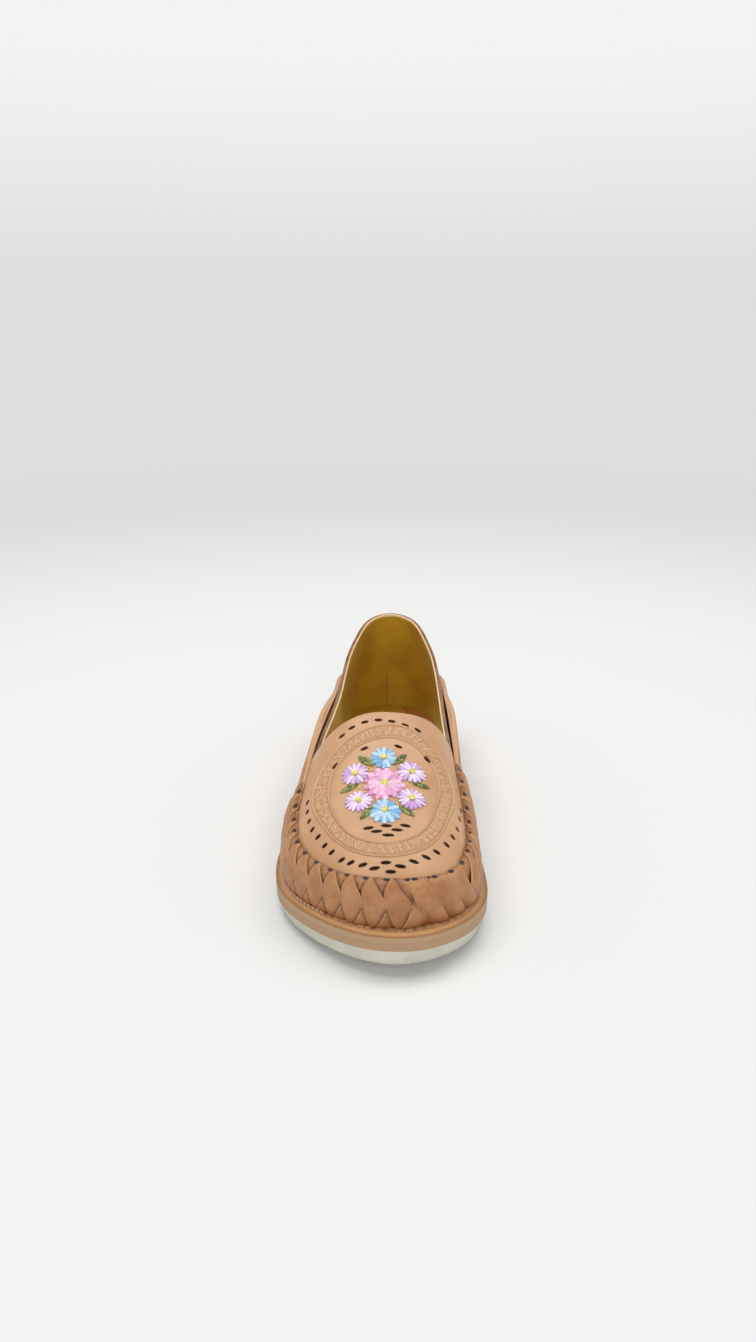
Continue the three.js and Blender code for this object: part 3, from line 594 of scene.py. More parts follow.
slots = slotFrames()
piece, across, row = flatSheet("vamp_leather", vamp["columns"], vamp["rows"])
movePoints(piece, vampPoint(2 * across - 1, row, 0.0))
editMesh(piece, (bpy.ops.mesh.remove_doubles, {"threshold": 1e-6}))
faceOut(piece)
applyModifier(piece, "SOLIDIFY", thickness=vamp["thickness"], offset=-1)
cutters = []
for centre, normal, direction, long, wide in slots:
    deselectAll()
    bpy.ops.mesh.primitive_cylinder_add(vertices=28, radius=0.5, depth=1)
    cutter = bpy.context.active_object
    turned = Matrix((direction, normal.cross(direction), normal)).transposed().to_4x4()
    cutter.data.transform(Matrix.Translation(centre) @ turned @ Matrix.Diagonal((long, wide, 0.008, 1)))
    cutters.append(cutter)
cutter = joinPieces("slot_cutters", cutters)
applyModifier(piece, "BOOLEAN", operation="DIFFERENCE", object=cutter, solver="EXACT")
bpy.data.objects.remove(cutter)


def farFromSlots(places, depth):  # how far from the nearest slot's middle, 1 on its edge
    far = np.full(len(places), 9.0)
    for centre, normal, direction, long, wide in slots:
        offset = places - np.array(centre)
        a = offset @ np.array(direction) / (long / 2)
        b = offset @ np.array(normal.cross(direction)) / (wide / 2)
        near = np.abs(offset @ np.array(normal)) < depth
        far = np.where(near, np.minimum(far, np.hypot(a, b)), far)
    return far


# painted shade: a value that darkens the plug round each slot and on its cut walls
setValue(piece, "slot_shade", farFromSlots(vertexPlaces(piece), 1.0))
finishSurface(piece, 35)
finish = Finish("vamp_leather", roughness=0.42)
colour = finish.mix(finish.noise(45, 4, 0.6).between(0.3, 0.7), tint(206, 160, 118), tint(194, 146, 104))
colour = finish.mix(finish.noise(500, 3, 0.6).between(0.55, 0.8) * 0.35, colour, tint(180, 134, 92))
# painted shade round the slots, darkest at their edges
colour = finish.mix(finish.value("slot_shade").between(1.35, 0.95) * 0.85, colour, tint(58, 30, 16))
finish.bump(finish.cells(1000) + finish.noise(220, 3, 0.5), 0.00005)
ready(piece, "vamp_leather", finish.set(base_color=colour), "vamp_plug")
print("vamp made, faces:", len(piece.data.polygons))


# The woven wall: over strips and under strips in cells of one pitch, mirrored on the inner side

weave = {
    "pitch": 0.009, "cells": 10, "mirror": -0.016, "thickness": 0.0011, "middle": 0.00175,
    "swing": 0.00095, "dome": 0.00025, "rows": 34, "plainStrips": 3, "dent": 0.0003,
}
underWidth = [(-0.02, 0.003), (0.02, 0.004), (0.08, 0.0046), (0.3, 0.0046), (1, 0.0046)]


def bars(name, sections, values):  # closed bars from their sections: bar, row, round the bar, xyz
    count, rows, around, _ = sections.shape
    index = np.arange(count * rows * around).reshape(count, rows, around)
    after = np.roll(index, -1, axis=2)
    quads = np.stack([index[:, :-1], after[:, :-1], after[:, 1:], index[:, 1:]], -1).reshape(-1, 4)
    caps = np.concatenate([index[:, 0, ::-1], index[:, -1]])
    mesh = bpy.data.meshes.new(name)
    mesh.from_pydata(sections.reshape(-1, 3).tolist(), [], quads.tolist() + caps.tolist())
    piece = bpy.data.objects.new(name, mesh)
    bpy.context.scene.collection.objects.link(piece)
    for key, value in values.items():
        setValue(piece, key, np.broadcast_to(value, (count, rows, around)))
    editMesh(piece, (bpy.ops.mesh.normals_make_consistent, {"inside": False}))
    return piece


stripAcross = np.array([-1, -0.98, -0.9, -0.6, -0.3, 0, 0.3, 0.6, 0.9, 0.98, 1, 0.97, 0.8, 0, -0.8, -0.97])
stripUp = np.array([0.1, 0.7, 1, 1, 1, 1, 1, 1, 1, 0.7, 0.1, -0.7, -1, -1, -1, -0.7])


def curve(t, *points):  # a smooth line through (t, value) points
    return column([(a, b) for a, b in points], 1)(t)


def overCentre(k, t):
    return weave["pitch"] * (k - 0.62 * np.maximum(0, (t - 0.2) / 0.8))


def overHalf(t):
    return curve(t, (-0.02, 0.0004), (0, 0.0006), (0.1, 0.002), (0.22, 0.0034), (0.4, 0.0047),
                 (0.55, 0.0048), (1, 0.0046))


def underCentre(k, t):
    lean = curve(t, (-0.02, -0.5), (0.12, -0.52), (0.3, -0.45), (0.6, -0.18), (1, 0.2))
    return weave["pitch"] * (k + lean)


def strips(name, side, first, beyond, kind):  # local girths grow away from the toe on both sides
    p = weave["pitch"]
    t = np.linspace(-0.02 if kind == "under" else -0.005, 1.0, weave["rows"])[None, :, None]
    k = np.arange(first, beyond)[:, None, None]
    across, up = stripAcross[None, None, :], stripUp[None, None, :]
    shingle = smooth(0.35, 0.75, t)  # toward the welt each strip laps over the next one
    real = (k >= weave["plainStrips"]) | (side > 0)
    if kind == "over":
        centre, half = overCentre(k, t), overHalf(t)
        rise = curve(t, (-0.02, -0.6), (0.02, 0.3), (0.08, 0.9), (0.3, 1), (1, 1))
        lift = (1 - shingle) * rise + shingle * across
        girth = centre + across * half
        lapped = girth - underCentre(k - 1, t) - 0.0045
        shade = np.exp(-(np.maximum(lapped, 0) / 0.0008) ** 2) * smooth(0.5, 0.62, t)
        dent_shade = 0 * girth
    else:
        centre = underCentre(k, t)
        half = curve(t, *underWidth)
        low = curve(t, (-0.02, -1.7), (0.03, -0.3), (0.1, 0.1), (0.2, -0.2), (0.4, -1), (1, -1))
        high = curve(t, (-0.02, -1.6), (0.03, 0.2), (0.12, 0.9), (0.3, 0.8), (1, 0.8))
        lift = (1 - shingle) * np.where(real, low, high) + shingle * across
        girth = centre + across * half
        shade = 0 * girth
        for j in (-1, 0):
            beside = np.abs(girth - overCentre(k + j, t)) - overHalf(t)
            there = (k + j >= (0 if side > 0 else weave["plainStrips"])) & (k + j <= weave["cells"])
            shade = np.maximum(shade, np.exp(-(np.maximum(beside, 0) / 0.001) ** 2) * there)
        # painted shade: a dark oval at the top of each under strip, where it dives under the plug, over a
        # small dent
        cell = girth / p - (k - 1) - 0.26
        dent_shade = np.exp(-(cell / 0.15) ** 2 - ((t - 0.015) / 0.035) ** 2)
    out = weave["middle"] + weave["swing"] * lift + weave["dome"] * (1 - across ** 2)
    out = out + up * weave["thickness"] / 2 - weave["dent"] * dent_shade
    place = girth if side > 0 else weave["mirror"] - girth
    place, t, out = np.broadcast_arrays(place, t, out)
    # depth darkens the low, overlapped parts of each strip: painted shade
    values = {"edge": np.abs(across), "depth": 0.5 - lift / 2, "level": 1 - t, "tone": k * 0.37 % 1,
              "dent_shade": dent_shade, "shade": shade}
    return bars(name, wallPoint(turnAt(place), 1 - t, out), values)


finish = Finish("strap_leather", roughness=0.5)
cloud = finish.noise(140, 4, 0.6).between(0.3, 0.7)
colour = finish.mix(cloud, tint(184, 130, 82), tint(158, 102, 60))
colour = finish.mix(finish.value("tone") * 0.35, colour, tint(192, 142, 98))
# painted shade: strips darker where they lie deep under their neighbours
colour = finish.mix(finish.value("depth").between(0.3, 1.1) * 0.5, colour, tint(124, 72, 38))
colour = finish.mix(finish.value("level").between(0.3, 0.0) * 0.55, colour, tint(142, 80, 40))
colour = finish.mix(finish.value("level").between(0.09, 0.0) * 0.6, colour, tint(84, 44, 22))
colour = finish.mix(finish.value("shade") * 0.85, colour, tint(80, 42, 20))
# painted shade: the dark oval where each under strip dives under the plug
colour = finish.mix(finish.value("dent_shade").between(0.15, 0.5), colour, tint(34, 16, 8))
colour = finish.mix(finish.value("edge").between(0.93, 0.985) * 0.75, colour, tint(218, 172, 128))
finish.bump(finish.cells(800) + finish.noise(300, 3, 0.6) * 2, 0.00009)
strapMaterial = finish.set(base_color=colour)
wallPieces = [
    strips("over_outer", 1, 0, weave["cells"] + 1, "over"),
    strips("under_outer", 1, -1, weave["cells"] + 2, "under"),
    strips("over_inner", -1, weave["plainStrips"], weave["cells"] + 1, "over"),
    strips("under_inner", -1, 0, weave["cells"] + 2, "under"),
]
piece = joinPieces("woven_strips", wallPieces)
finishSurface(piece, 50)
ready(piece, "strap_leather", strapMaterial, "woven_upper")

# Straps along the sides and round the heel, from under the weave to under the weave

straps = {
    "start": 0.085, "steps": 160,
    "side": [
        {"low": 0.0, "high": 0.31, "inside": 0.00045, "outside": 0.00255},
        {"low": 0.34, "high": 0.655, "inside": 0.00045, "outside": 0.00255},
        {"low": 0.685, "high": 1.0, "inside": -0.0003, "outside": 0.0024},
    ],
    "inner": {"low": 0.6, "high": 1.0, "inside": 0.0002, "outside": 0.0014},
}


def strap(name, sizes, stand=1.0):  # stand is how far it follows the flare of the wall
    outer, inner = turnAt(straps["start"]), turnAt(-straps["start"]) + 2 * np.pi
    turn = np.linspace(outer, inner, straps["steps"])[None, :, None]
    across, up = stripAcross[None, None, :], stripUp[None, None, :]
    level = sizes["low"] + (sizes["high"] - sizes["low"]) * (across + 1) / 2
    out = sizes["inside"] + (sizes["outside"] - sizes["inside"]) * (up + 1) / 2
    out = out + 0.0003 * (1 - across ** 2) * (up > 0)
    end = smooth(0, 0.4, np.minimum(turn - outer, inner - turn))
    turn, level, out = np.broadcast_arrays(turn, level, out * (0.35 + 0.65 * end))
    values = {"edge": np.abs(across), "depth": 0.3, "level": level, "tone": sizes["low"],
              "dent_shade": 0, "shade": 0}
    flare = last["strapFlare"] * flareAt(baseShare(turn)) * level ** 2
    return bars(name, wallPoint(turn, level, out - (1 - stand) * flare), values)


pieces = [strap("strap_" + str(i), sizes) for i, sizes in enumerate(straps["side"])]
piece = finishSurface(joinPieces("side_straps", pieces), 50)
ready(piece, "strap_leather", strapMaterial)
piece = finishSurface(strap("inner_strap", straps["inner"], 0.4), 50)
ready(piece, "strap_leather", strapMaterial)

# A thin dark wall behind the strips, painted shade seen through the gaps between them
backing, across, level = flatSheet("gap_shade_backing", 300, 8)
movePoints(backing, wallPoint(2 * np.pi * across, level * 0.97, 0.00035))
editMesh(backing, (bpy.ops.mesh.remove_doubles, {"threshold": 1e-6}))
faceOut(backing)
finishSurface(backing, 60)
ready(backing, "strap_leather", leather("gap_shade_backing", (92, 52, 30), (70, 38, 20)))


# The counter, its lining and its edge

counter = {"front": 0.38, "columns": 220, "rows": 40}


def counterWall(name, inside, outside, top):  # a standing band from wing to wing round the heel
    start = np.arccos(1 - 2 * counter["front"])
    piece, across, level = flatSheet(name, counter["columns"], counter["rows"])
    turn = start + (2 * np.pi - 2 * start) * across
    height = (last["heelHeight"] * collarAt(baseShare(turn)) + top) * level + last["fit"] * (1 - level)
    movePoints(piece, onLast(turn, climbFor(turn, height), outside))
    faceOut(piece)
    setValue(piece, "level", level)
    setValue(piece, "along", across)
    setValue(piece, "side", 1 - np.abs(2 * baseShare(turn) - 1) ** 2)
    applyModifier(piece, "SOLIDIFY", thickness=outside - inside, offset=-1)
    applyModifier(piece, "BEVEL", width=0.0003, segments=2, limit_method="ANGLE",
                  angle_limit=math.radians(50))
    return finishSurface(piece, 50)


piece = counterWall("counter_leather", -0.0016, 0.0, -0.0002)
finish = Finish("counter_leather", roughness=0.85, sheen_weight=0.2)
colour = finish.mix(finish.noise(260, 4, 0.7).between(0.35, 0.65), tint(160, 116, 88), tint(122, 82, 60))
finish.bump(finish.noise(1500, 4, 0.7), 0.00018)
ready(piece, "counter_leather", finish.set(base_color=colour), "heel_counter")
piece = counterWall("counter_lining", -0.0024, -0.0016, 0.0003)
finish = Finish("counter_lining", roughness=0.8)
level, along = finish.value("level"), finish.value("along")
colour = finish.mix(finish.noise(50, 4, 0.6).between(0.35, 0.7), tint(194, 148, 22), tint(172, 126, 14))
# painted light: the lining lighter toward its front ends, where more light reaches in, and darker deep in the
# heel
lit_front_ends = finish.value("side").between(0.1, 0.75)
colour = finish.mix(lit_front_ends * 0.8, colour, tint(222, 200, 110))
seam = along.maths("ABSOLUTE", along - 0.488)
line = seam.between(0.0016, 0.0008) * level.between(0.36, 0.3)
colour = finish.mix(line * 0.8, colour, tint(60, 40, 10))
colour = finish.mix(level.between(0.978, 0.986), colour, tint(240, 210, 160))
finish.bump(finish.noise(900, 4, 0.7), 0.00012)
ready(piece, "counter_leather", finish.set(base_color=colour))
print("counter made")


# The tooled ring round the flowers

ring = {
    "middle": (0.0045, 0.062), "columns": 44, "rows": 960, "swell": 0.00045, "groove": 0.00022,
    "tooling": 0.00034, "scrolls": 150, "leaves": 56, "seed": 7, "rosette": 0.0026,
}
# across from the centre line and from the toe, in metres
ringInside = [
    (0.003, 0.0892), (-0.0106, 0.0847), (-0.0172, 0.0727), (-0.0185, 0.0605), (-0.0147, 0.0482),
    (-0.0068, 0.0375), (0.0051, 0.0328), (0.0162, 0.0366), (0.0231, 0.0473), (0.0262, 0.0635),
    (0.0257, 0.0775), (0.0185, 0.0862),
]
ringOutside = [
    (0.0027, 0.0972), (-0.014, 0.0912), (-0.0238, 0.0828), (-0.0264, 0.0665), (-0.023, 0.0486),
    (-0.0155, 0.036), (-0.0037, 0.0277), (0.0082, 0.0245), (0.0203, 0.0297), (0.0283, 0.0402),
    (0.0327, 0.056), (0.0336, 0.0757), (0.03, 0.0893), (0.0215, 0.0957),
]
rosettes = [(-0.0139, 0.0424), (-0.0039, 0.0316), (0.0263, 0.0446), (0.0175, 0.0342)]


def closedRadius(points):  # a smooth closed line round the ring's middle through some points
    x, s = np.array(points).T - np.array(ring["middle"])[:, None]
    angle, radius = np.arctan2(s, x), np.hypot(x, s)

    def waves(angle):
        turning = [wave(k * angle) for k in range(1, 4) for wave in (np.cos, np.sin)]
        return np.stack([np.ones_like(angle)] + turning, -1)
    weights = np.linalg.lstsq(waves(angle), radius, rcond=None)[0]
    return lambda angle: waves(angle) @ weights


ringRadii = closedRadius(ringInside), closedRadius(ringOutside)


def ringPlan(along, across):  # along 0 to 1 round the ring, across 0 inside to 1 outside
    angle = 2 * np.pi * along
    inside, outside = (radius(angle) for radius in ringRadii)
    radius = inside + (outside - inside) * across
    return ring["middle"][0] + radius * np.cos(angle), ring["middle"][1] + radius * np.sin(angle)


def tooling(along, across):  # the height of the scrolls and leaves, 0 to 1, over a grid of places
    x, s = ringPlan(along, across)
    height = np.zeros(x.shape)
    rng = np.random.default_rng(ring["seed"])

    def stroke(points, radius, top):
        points = np.array(points)
        low, high = points.min(0) - radius * 2, points.max(0) + radius * 2
        near = np.nonzero((x > low[0]) & (x < high[0]) & (s > low[1]) & (s < high[1]))
        spot = np.stack([x[near], s[near]], -1)
        start, step = points[:-1], np.diff(points, axis=0)
        part = ((spot[:, None] - start) * step).sum(-1) / (step ** 2).sum(-1)
        away = np.linalg.norm(spot[:, None] - start - np.clip(part, 0, 1)[..., None] * step, axis=-1).min(1)
        height[near] = np.maximum(height[near], top * np.exp(-(away / radius) ** 2))

    def scroll(centre, size, first, turns, radius, top=1.0):
        t = np.linspace(0, 1, 22)
        angle, far = first + turns * 2 * np.pi * t, size * (1 - 0.8 * t)
        stroke(np.stack([centre[0] + far * np.cos(angle), centre[1] + far * np.sin(angle)], -1), radius, top)

    for i in range(ring["scrolls"]):
        a = (i + rng.uniform(-0.3, 0.3)) / ring["scrolls"]
        c = (0.36, 0.64)[i % 2] + rng.uniform(-0.05, 0.05)
        centre = np.array(ringPlan(np.array(a), np.array(c)))
        if min(np.hypot(*(centre - r)) for r in np.array(rosettes)) > ring["rosette"] * 1.15:
            size, first = rng.uniform(0.0009, 0.0014), rng.uniform(0, 6.3)
            scroll(centre, size, first, rng.choice([-1, 1]) * 1.1, 0.00019)
    for i in range(ring["leaves"]):
        a = (i + rng.uniform(-0.2, 0.2)) / ring["leaves"]
        lean = rng.choice([-1, 1]) * rng.uniform(0.006, 0.012)
        t = np.linspace(-1, 1, 6)
        stroke(np.stack(ringPlan(a + lean * t * 0.5, 0.5 + 0.3 * t), -1), 0.00024, 0.75)
    for centre in rosettes:
        far = np.hypot(x - centre[0], s - centre[1])
        height = np.where(far < ring["rosette"] * 1.15, 0.1, height)
        scroll(centre, ring["rosette"], 0.6, 1.9, 0.00027, 1.0)
    return height


piece, across, along = flatSheet("tooled_ring", ring["columns"], ring["rows"])
band = smooth(0.17, 0.24, across) * smooth(0.83, 0.76, across)
carved = tooling(along, across) * band
rims = np.exp(-((across - 0.1) / 0.05) ** 2) + np.exp(-((across - 0.9) / 0.05) ** 2)
grooves = sum(np.exp(-((across - c) / 0.024) ** 2) for c in (0.03, 0.18, 0.82, 0.97))
out = 0.00022 + ring["swell"] * rims - ring["groove"] * grooves + ring["tooling"] * carved
out = out - 0.0006 * (smooth(0.03, 0, across) + smooth(0.97, 1, across))
x, s = ringPlan(along, across)
movePoints(piece, onPlan(x - middleX, s - last["soleLength"] / 2, out))
setValue(piece, "relief", carved)
setValue(piece, "groove", grooves)
setValue(piece, "band", band)
covered = farFromSlots(vertexPlaces(piece), 0.004) < 1.05  # no ring over a slot
editMesh(piece, (bpy.ops.mesh.select_all, {"action": "DESELECT"}))
piece.data.vertices.foreach_set("select", covered)
makeActive(piece)
bpy.ops.object.mode_set(mode="EDIT")
bpy.ops.mesh.delete(type="VERT")
bpy.ops.object.mode_set(mode="OBJECT")
editMesh(piece, (bpy.ops.mesh.remove_doubles, {"threshold": 1e-6}))
faceOut(piece)
finishSurface(piece, 80)
finish = Finish("tooled_leather", roughness=0.42)
finish.bump(finish.cells(900), 0.00006)
# painted highlight on the raised tooling and painted shade between it
relief_highlight_and_shade = finish.mix(finish.value("relief").between(0.05, 0.8), tint(184, 137, 97), tint(216, 174, 133))
colour = finish.mix(finish.value("band"), tint(204, 160, 118), relief_highlight_and_shade)
colour = finish.mix(finish.value("groove") * 0.5, colour, tint(160, 112, 72))
ready(piece, "vamp_leather", finish.set(base_color=colour))
print("ring made")


# The embroidery: satin-stitched daisies, knots and leaves

# centre across and along, radius in metres, petals, layers of petals
flowers = {
    "pink": [(0.0043, 0.0646, 0.009, 13, 2)],
    "blue": [(0.0034, 0.0792, 0.0058, 12, 1), (0.0051, 0.0489, 0.0068, 12, 1)],
    "lilac": [(-0.0086, 0.0704, 0.006, 15, 1), (-0.0061, 0.0549, 0.0058, 16, 1),
              (0.0156, 0.0727, 0.006, 15, 1), (0.0158, 0.0571, 0.006, 16, 1)],
}
# leaf tips and roots
leaves = [
    ((-0.0076, 0.0803), (-0.0005, 0.0745)), ((0.0129, 0.0822), (0.0077, 0.0757)),
    ((-0.0141, 0.0612), (-0.0068, 0.0648)), ((0.023, 0.0666), (0.0158, 0.0665)),
    ((-0.0047, 0.0452), (0.0003, 0.0518)), ((0.0169, 0.0477), (0.0103, 0.0523)),
]
knots = [
    (-0.0022, 0.0722), (-0.0045, 0.0655), (-0.0052, 0.0668), (-0.003, 0.0738), (0.0098, 0.0536),
    (0.0106, 0.0522), (0.0015, 0.0551), (0.0149, 0.0672), (-0.004, 0.0632), (0.0096, 0.0742),
    (-0.0062, 0.0626), (0.0102, 0.0548),
]
embroidery = {"lift": 0.0003, "crown": 0.0006, "thread": 0.00022, "rows": 8, "seed": 3}


def threads(name, x, s, out, radius, values, flat=1.0):  # rounded threads over the vamp, one a row
    shape = x.shape
    x, y = x - middleX, s - last["soleLength"] / 2
    here = onPlan(x, y, out).reshape(shape + (3,))
    normal = (onPlan(x, y, out + 0.001).reshape(shape + (3,)) - here) * 1000
    side = np.cross(np.gradient(here, axis=1), normal)
    side /= np.linalg.norm(side, axis=-1, keepdims=True)
    angle = np.arange(6)[None, None, :, None] * np.pi / 3
    ball = radius[..., None, None]
    around = side[:, :, None] * np.cos(angle) + normal[:, :, None] * np.sin(angle) * flat
    places = here[:, :, None] + ball * around
    return finishSurface(bars(name, places, {key: value[..., None] for key, value in values.items()}), 70)


def petals(name, rows):
    rng = np.random.default_rng(embroidery["seed"])
    bodies, stitches = [], []
    f = np.linspace(0, 1, embroidery["rows"])
    for centreX, centreS, radius, count, layers in rows:
        for layer in range(layers):
            for i in range(count):
                angle = 2 * np.pi * (i + 0.5 * layer + rng.uniform(-0.12, 0.12)) / count
                far = radius * (1 - 0.22 * layer) * rng.uniform(0.94, 1.04)
                width = 1.05 * np.pi * radius / count * rng.uniform(0.9, 1.1)
                tone, lift = rng.uniform(0, 0.6), embroidery["lift"] + 0.00045 * layer
                shape = np.sin(np.pi * (0.06 + 0.84 * f) ** 0.9) ** 0.6
                reach = 0.08 * radius + (far - 0.08 * radius) * f
                crown = embroidery["crown"] * np.sin(np.pi * (0.15 + 0.8 * f))
                place = centreX + reach * np.cos(angle), centreS + reach * np.sin(angle)
                bodies.append((*place, lift + 0.4 * crown, width * shape * 0.94, tone * 0.5 + 0 * f, f))
                for j in (-0.86, -0.57, -0.28, 0, 0.28, 0.57, 0.86):
                    off = width * j * shape
                    inward = 1 - 0.14 * j ** 2
                    place = (centreX + reach * inward * np.cos(angle) - off * np.sin(angle),
                             centreS + reach * inward * np.sin(angle) + off * np.cos(angle))
                    # painted highlight: the middle threads of each petal lighter, the side threads darker
                    light = tone + (0.38 if abs(j) < 0.3 else rng.uniform(-0.25, 0.15))
                    size = embroidery["thread"] * (1.05 - 0.4 * f)
                    stitches.append((*place, lift + crown * (1 - 0.45 * j ** 2), size, light + 0 * f, f))
    made = []
    for part, rows, flat in (("body", bodies, 0.12), ("stitches", stitches, 1.0)):
        x, s, out, size, tone, along = (np.array(a) for a in zip(*rows))
        made.append(threads(name + "_" + part, x, s, out, size, {"tone": tone, "along": along}, flat))
    return joinPieces(name, made)


def threadFinish(name, light, main, deep):  # shaded from a deep heart to a light tip, thread by thread
    finish = Finish(name, roughness=0.45, sheen_weight=0.3)
    tone, along = finish.value("tone"), finish.value("along")
    colour = finish.mix(along.between(0.05, 0.55), tint(*deep), tint(*main))
    colour = finish.mix(tone.between(0.4, 0.85), colour, tint(*light))
    colour = finish.mix(tone.between(0.3, 0.0) * 0.75, colour, tint(*deep))
    finish.bump(finish.noise(2600, 2, 0.5), 0.00008)
    return finish.set(base_color=colour)


threadColours = {
    "pink": ((255, 232, 246), (240, 176, 218), (200, 104, 164)),
    "blue": ((226, 246, 255), (148, 204, 240), (92, 152, 206)),
    "lilac": ((250, 238, 252), (220, 180, 228), (172, 124, 190)),
}
for name, rows in flowers.items():
    piece = petals("petals_" + name, rows)
    piece.data.materials.append(threadFinish("thread_" + name, *threadColours[name]))
    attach(piece, "root")

rng = np.random.default_rng(embroidery["seed"] + 1)
x, s, out, size = [], [], [], []
f = np.linspace(-1, 1, 6)
hearts = [(row[0], row[1], 0.00165 if key == "pink" else 0.0012)
          for key, rows in flowers.items() for row in rows]
for centreX, centreS, radius in hearts + [(a, b, 0.0) for a, b in knots]:
    for i in range(26 if radius else 1):
        far, angle = radius * np.sqrt(i / 26), i * 2.4
        turn = rng.uniform(0, np.pi)
        ball = 0.00036 if radius else 0.00045
        x.append(centreX + far * np.cos(angle) + ball * f * np.cos(turn))
        s.append(centreS + far * np.sin(angle) + ball * f * np.sin(turn))
        lift = 0.0013 + 0.0005 * (1 - far ** 2 / max(radius, 1e-4) ** 2) if radius else 0.0006
        out.append(np.full_like(f, lift))
        size.append(ball * np.sqrt(np.clip(1 - f ** 2, 0.04, 1)))
x, s, out, size = (np.array(a) for a in (x, s, out, size))
tone = np.broadcast_to(rng.uniform(0, 1, (len(x), 1)), x.shape)
piece = threads("flower_knots", x, s, out, size, {"tone": tone, "along": np.ones_like(x)})
piece.data.materials.append(threadFinish("thread_yellow", (250, 244, 140), (232, 214, 70), (196, 158, 40)))
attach(piece, "root")

x, s, out, tone = [], [], [], []
f = np.linspace(0, 1, embroidery["rows"])
for tip, root in leaves:
    tip, root = np.array(tip), np.array(root)
    line = tip - root
    normal = np.array([-line[1], line[0]])
    for side in (1, -1):
        for i in range(16):
            share = i / 15
            begin = root + line * (share * 0.86 + 0.02)
            wide = 0.2 * math.sin(math.pi * (0.12 + 0.84 * share)) * rng.uniform(0.9, 1.1)
            end = begin + line * 0.16 + side * normal * wide
            x.append(begin[0] + (end[0] - begin[0]) * f)
            s.append(begin[1] + (end[1] - begin[1]) * f)
            out.append(0.0002 + 0.0005 * np.sin(np.pi * (0.25 + 0.7 * f)))
            tone.append(np.full_like(f, rng.uniform(0, 1)))
x, s, out, tone = (np.array(a) for a in (x, s, out, tone))
along = np.broadcast_to(f, x.shape)
piece = threads("leaf_stitches", x, s, out, 0.00024 * np.sin(np.pi * (0.15 + 0.75 * along)) ** 0.4,
                {"tone": tone, "along": along})
piece.data.materials.append(threadFinish("thread_green", (170, 176, 96), (112, 124, 52), (58, 70, 24)))
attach(piece, "root")
print("embroidery made")


# Stitches and a scalloped rand where the weave meets the welt

base = {
    "stitchStart": 0.03, "stitchEnd": 0.13, "stitchStep": 0.0026, "stitchLength": 0.0021,
    "stitchRadius": 0.00042, "randEnd": 0.034, "randStep": 0.0036, "randLength": 0.0044, "randRadius": 0.0021,
}


def alongBase(name, girths, length, radius, level, out, slant, flat):  # short rounded bars along the base
    f = np.linspace(-1, 1, 8)[None, :, None]
    angle = (np.arange(8) * np.pi / 4)[None, None, :]
    size = radius * np.sqrt(np.clip(1 - f ** 2, 0.03, 1))
    girth = girths[:, None, None] + length / 2 * f + 0 * angle
    height = level + slant * f + size * flat * np.sin(angle)
    turn = turnAt(girth)
    wall = onLast(turn, climbFor(turn, 0.0004), out + size * np.cos(angle))
    wall[..., 2] = last["weltTop"] + riseAt(wall[..., 1] + last["soleLength"] / 2) + height
    return bars(name, wall, {"tone": girths[:, None, None] * 371 % 1})


start, end, step = base["stitchStart"], base["stitchEnd"], base["stitchStep"]
side = np.arange(start, end, step)
girths = np.concatenate([side, weave["mirror"] - side])
piece = alongBase("base_stitches", girths, base["stitchLength"], base["stitchRadius"], 0.0006, 0.0034,
                  0.0003, 1.0)
finishSurface(piece, 70)
finish = Finish("stitch_thread", roughness=0.7)
colour = finish.mix(finish.noise(900), tint(226, 206, 186), tint(188, 156, 130))
piece.data.materials.append(finish.set(base_color=colour))
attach(piece, "root")

girths = np.arange(-base["randEnd"] - 0.004, base["randEnd"], base["randStep"])
piece = alongBase("scalloped_rand", girths, base["randLength"], base["randRadius"], 0.0001, 0.0019,
                  0.0, 0.4)
finishSurface(piece, 70)
ready(piece, "strap_leather", leather("rand_leather", (196, 146, 104), (150, 98, 60), 700, 0.6, 300))
print("base made")


# Floor, light and camera

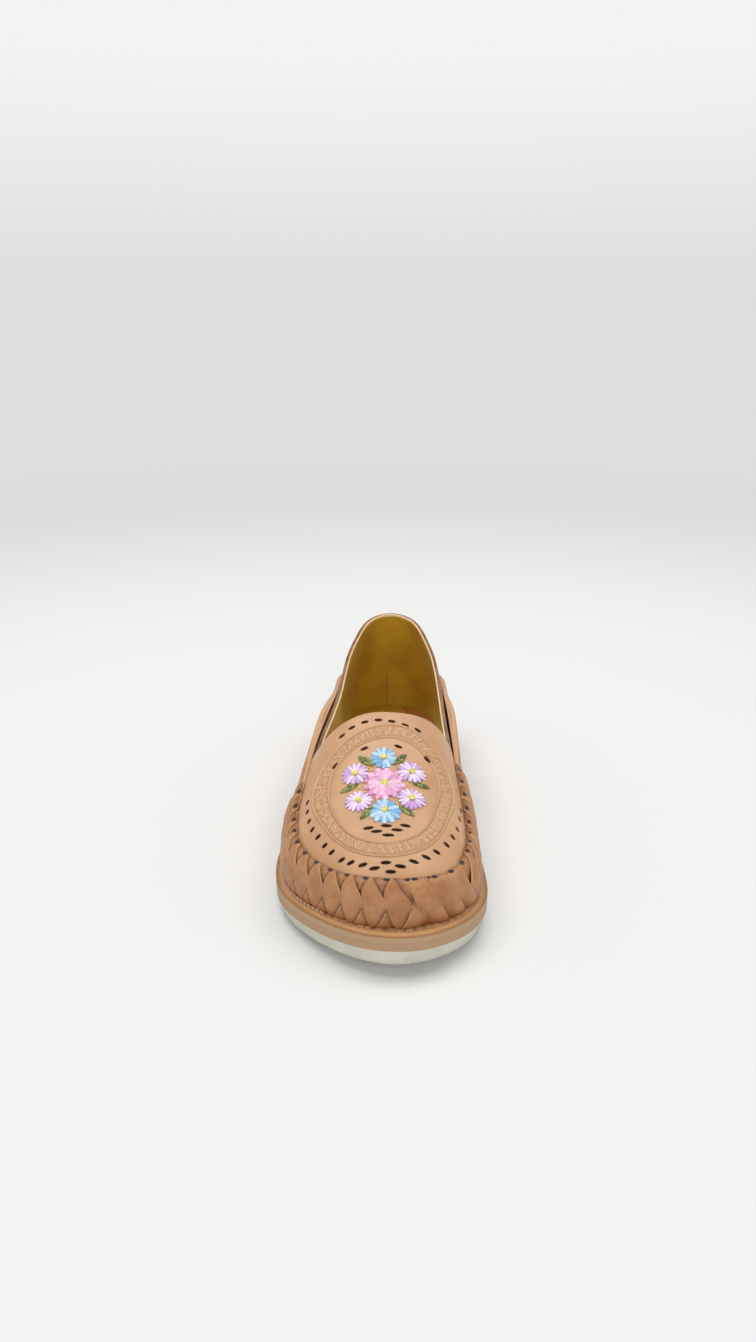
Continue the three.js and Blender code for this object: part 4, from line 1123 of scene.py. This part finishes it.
studio = {"floor": (237, 237, 236), "horizon": (222, 222, 222), "sky": (243, 243, 243), "roof": 0.3}
bpy.ops.mesh.primitive_circle_add(vertices=96, radius=12, fill_type="TRIFAN")
floor = bpy.context.active_object
floor.name = "studio_floor"
finish = Finish("studio_floor", roughness=0.9, emission_strength=1.0)
finish.shader.inputs["IOR"].default_value = 1.0
far = finish.node("ShaderNodeVectorMath", {"operation": "LENGTH"}, {0: finish.place()}, "Value")
fade = far.between(0.35, 1.3)  # the floor fades into the plain backdrop
finish.set(base_color=finish.mix(fade, tint(*studio["floor"]), (0, 0, 0, 1)),
           emission_color=finish.mix(fade, (0, 0, 0, 1), tint(*studio["horizon"])))
floor.data.materials.append(finish.material)

world = bpy.data.worlds.new("studio_world")
bpy.context.scene.world = world
world.use_nodes = True
skyNodes, skyLinks = world.node_tree.nodes, world.node_tree.links
place = skyNodes.new("ShaderNodeTexCoord")
parts = skyNodes.new("ShaderNodeSeparateXYZ")
ramp = skyNodes.new("ShaderNodeValToRGB")
roof = (studio["roof"],) * 3 + (1.0,)
stops = [(0.0, tint(*studio["horizon"])), (0.03, tint(*studio["horizon"])), (0.2, tint(*studio["sky"])),
         (0.34, tint(*studio["sky"])), (0.5, roof)]
while len(ramp.color_ramp.elements) < len(stops):
    ramp.color_ramp.elements.new(0.9)
for element, (at, colour) in zip(ramp.color_ramp.elements, stops):
    element.position, element.color = at, colour
skyLinks.new(place.outputs["Generated"], parts.inputs[0])
skyLinks.new(parts.outputs["Z"], ramp.inputs[0])
skyLinks.new(ramp.outputs[0], skyNodes["Background"].inputs["Color"])


def areaLight(name, place, target, size, power):
    light = bpy.data.lights.new(name, "AREA")
    light.size, light.energy = size, power
    lamp = bpy.data.objects.new(name, light)
    lamp.location = place
    lamp.rotation_euler = (Vector(target) - Vector(place)).to_track_quat("-Z", "Y").to_euler()
    bpy.context.scene.collection.objects.link(lamp)


areaLight("key_light", (-0.35, 0.1, 1.3), (0, 0, 0.03), 0.8, 7.5)
areaLight("top_light", (0.45, 0.35, 1.3), (0, 0, 0.03), 0.8, 5.5)
areaLight("front_light", (0.15, -1.3, 0.75), (0, 0.05, 0.04), 0.8, 5)

lens = bpy.data.cameras.new("photo_camera")
lens.sensor_width = 36
lens.lens = 36 * 1000 / 1342
lens.sensor_fit = "AUTO"
camera = bpy.data.objects.new("photo_camera", lens)
camera.location = (0.015455, -0.4426, 0.239)
camera.rotation_euler = (math.radians(70.1), 0, math.radians(2.5))
bpy.context.scene.collection.objects.link(camera)
bpy.context.scene.camera = camera
bpy.context.scene.view_settings.view_transform = "Standard"
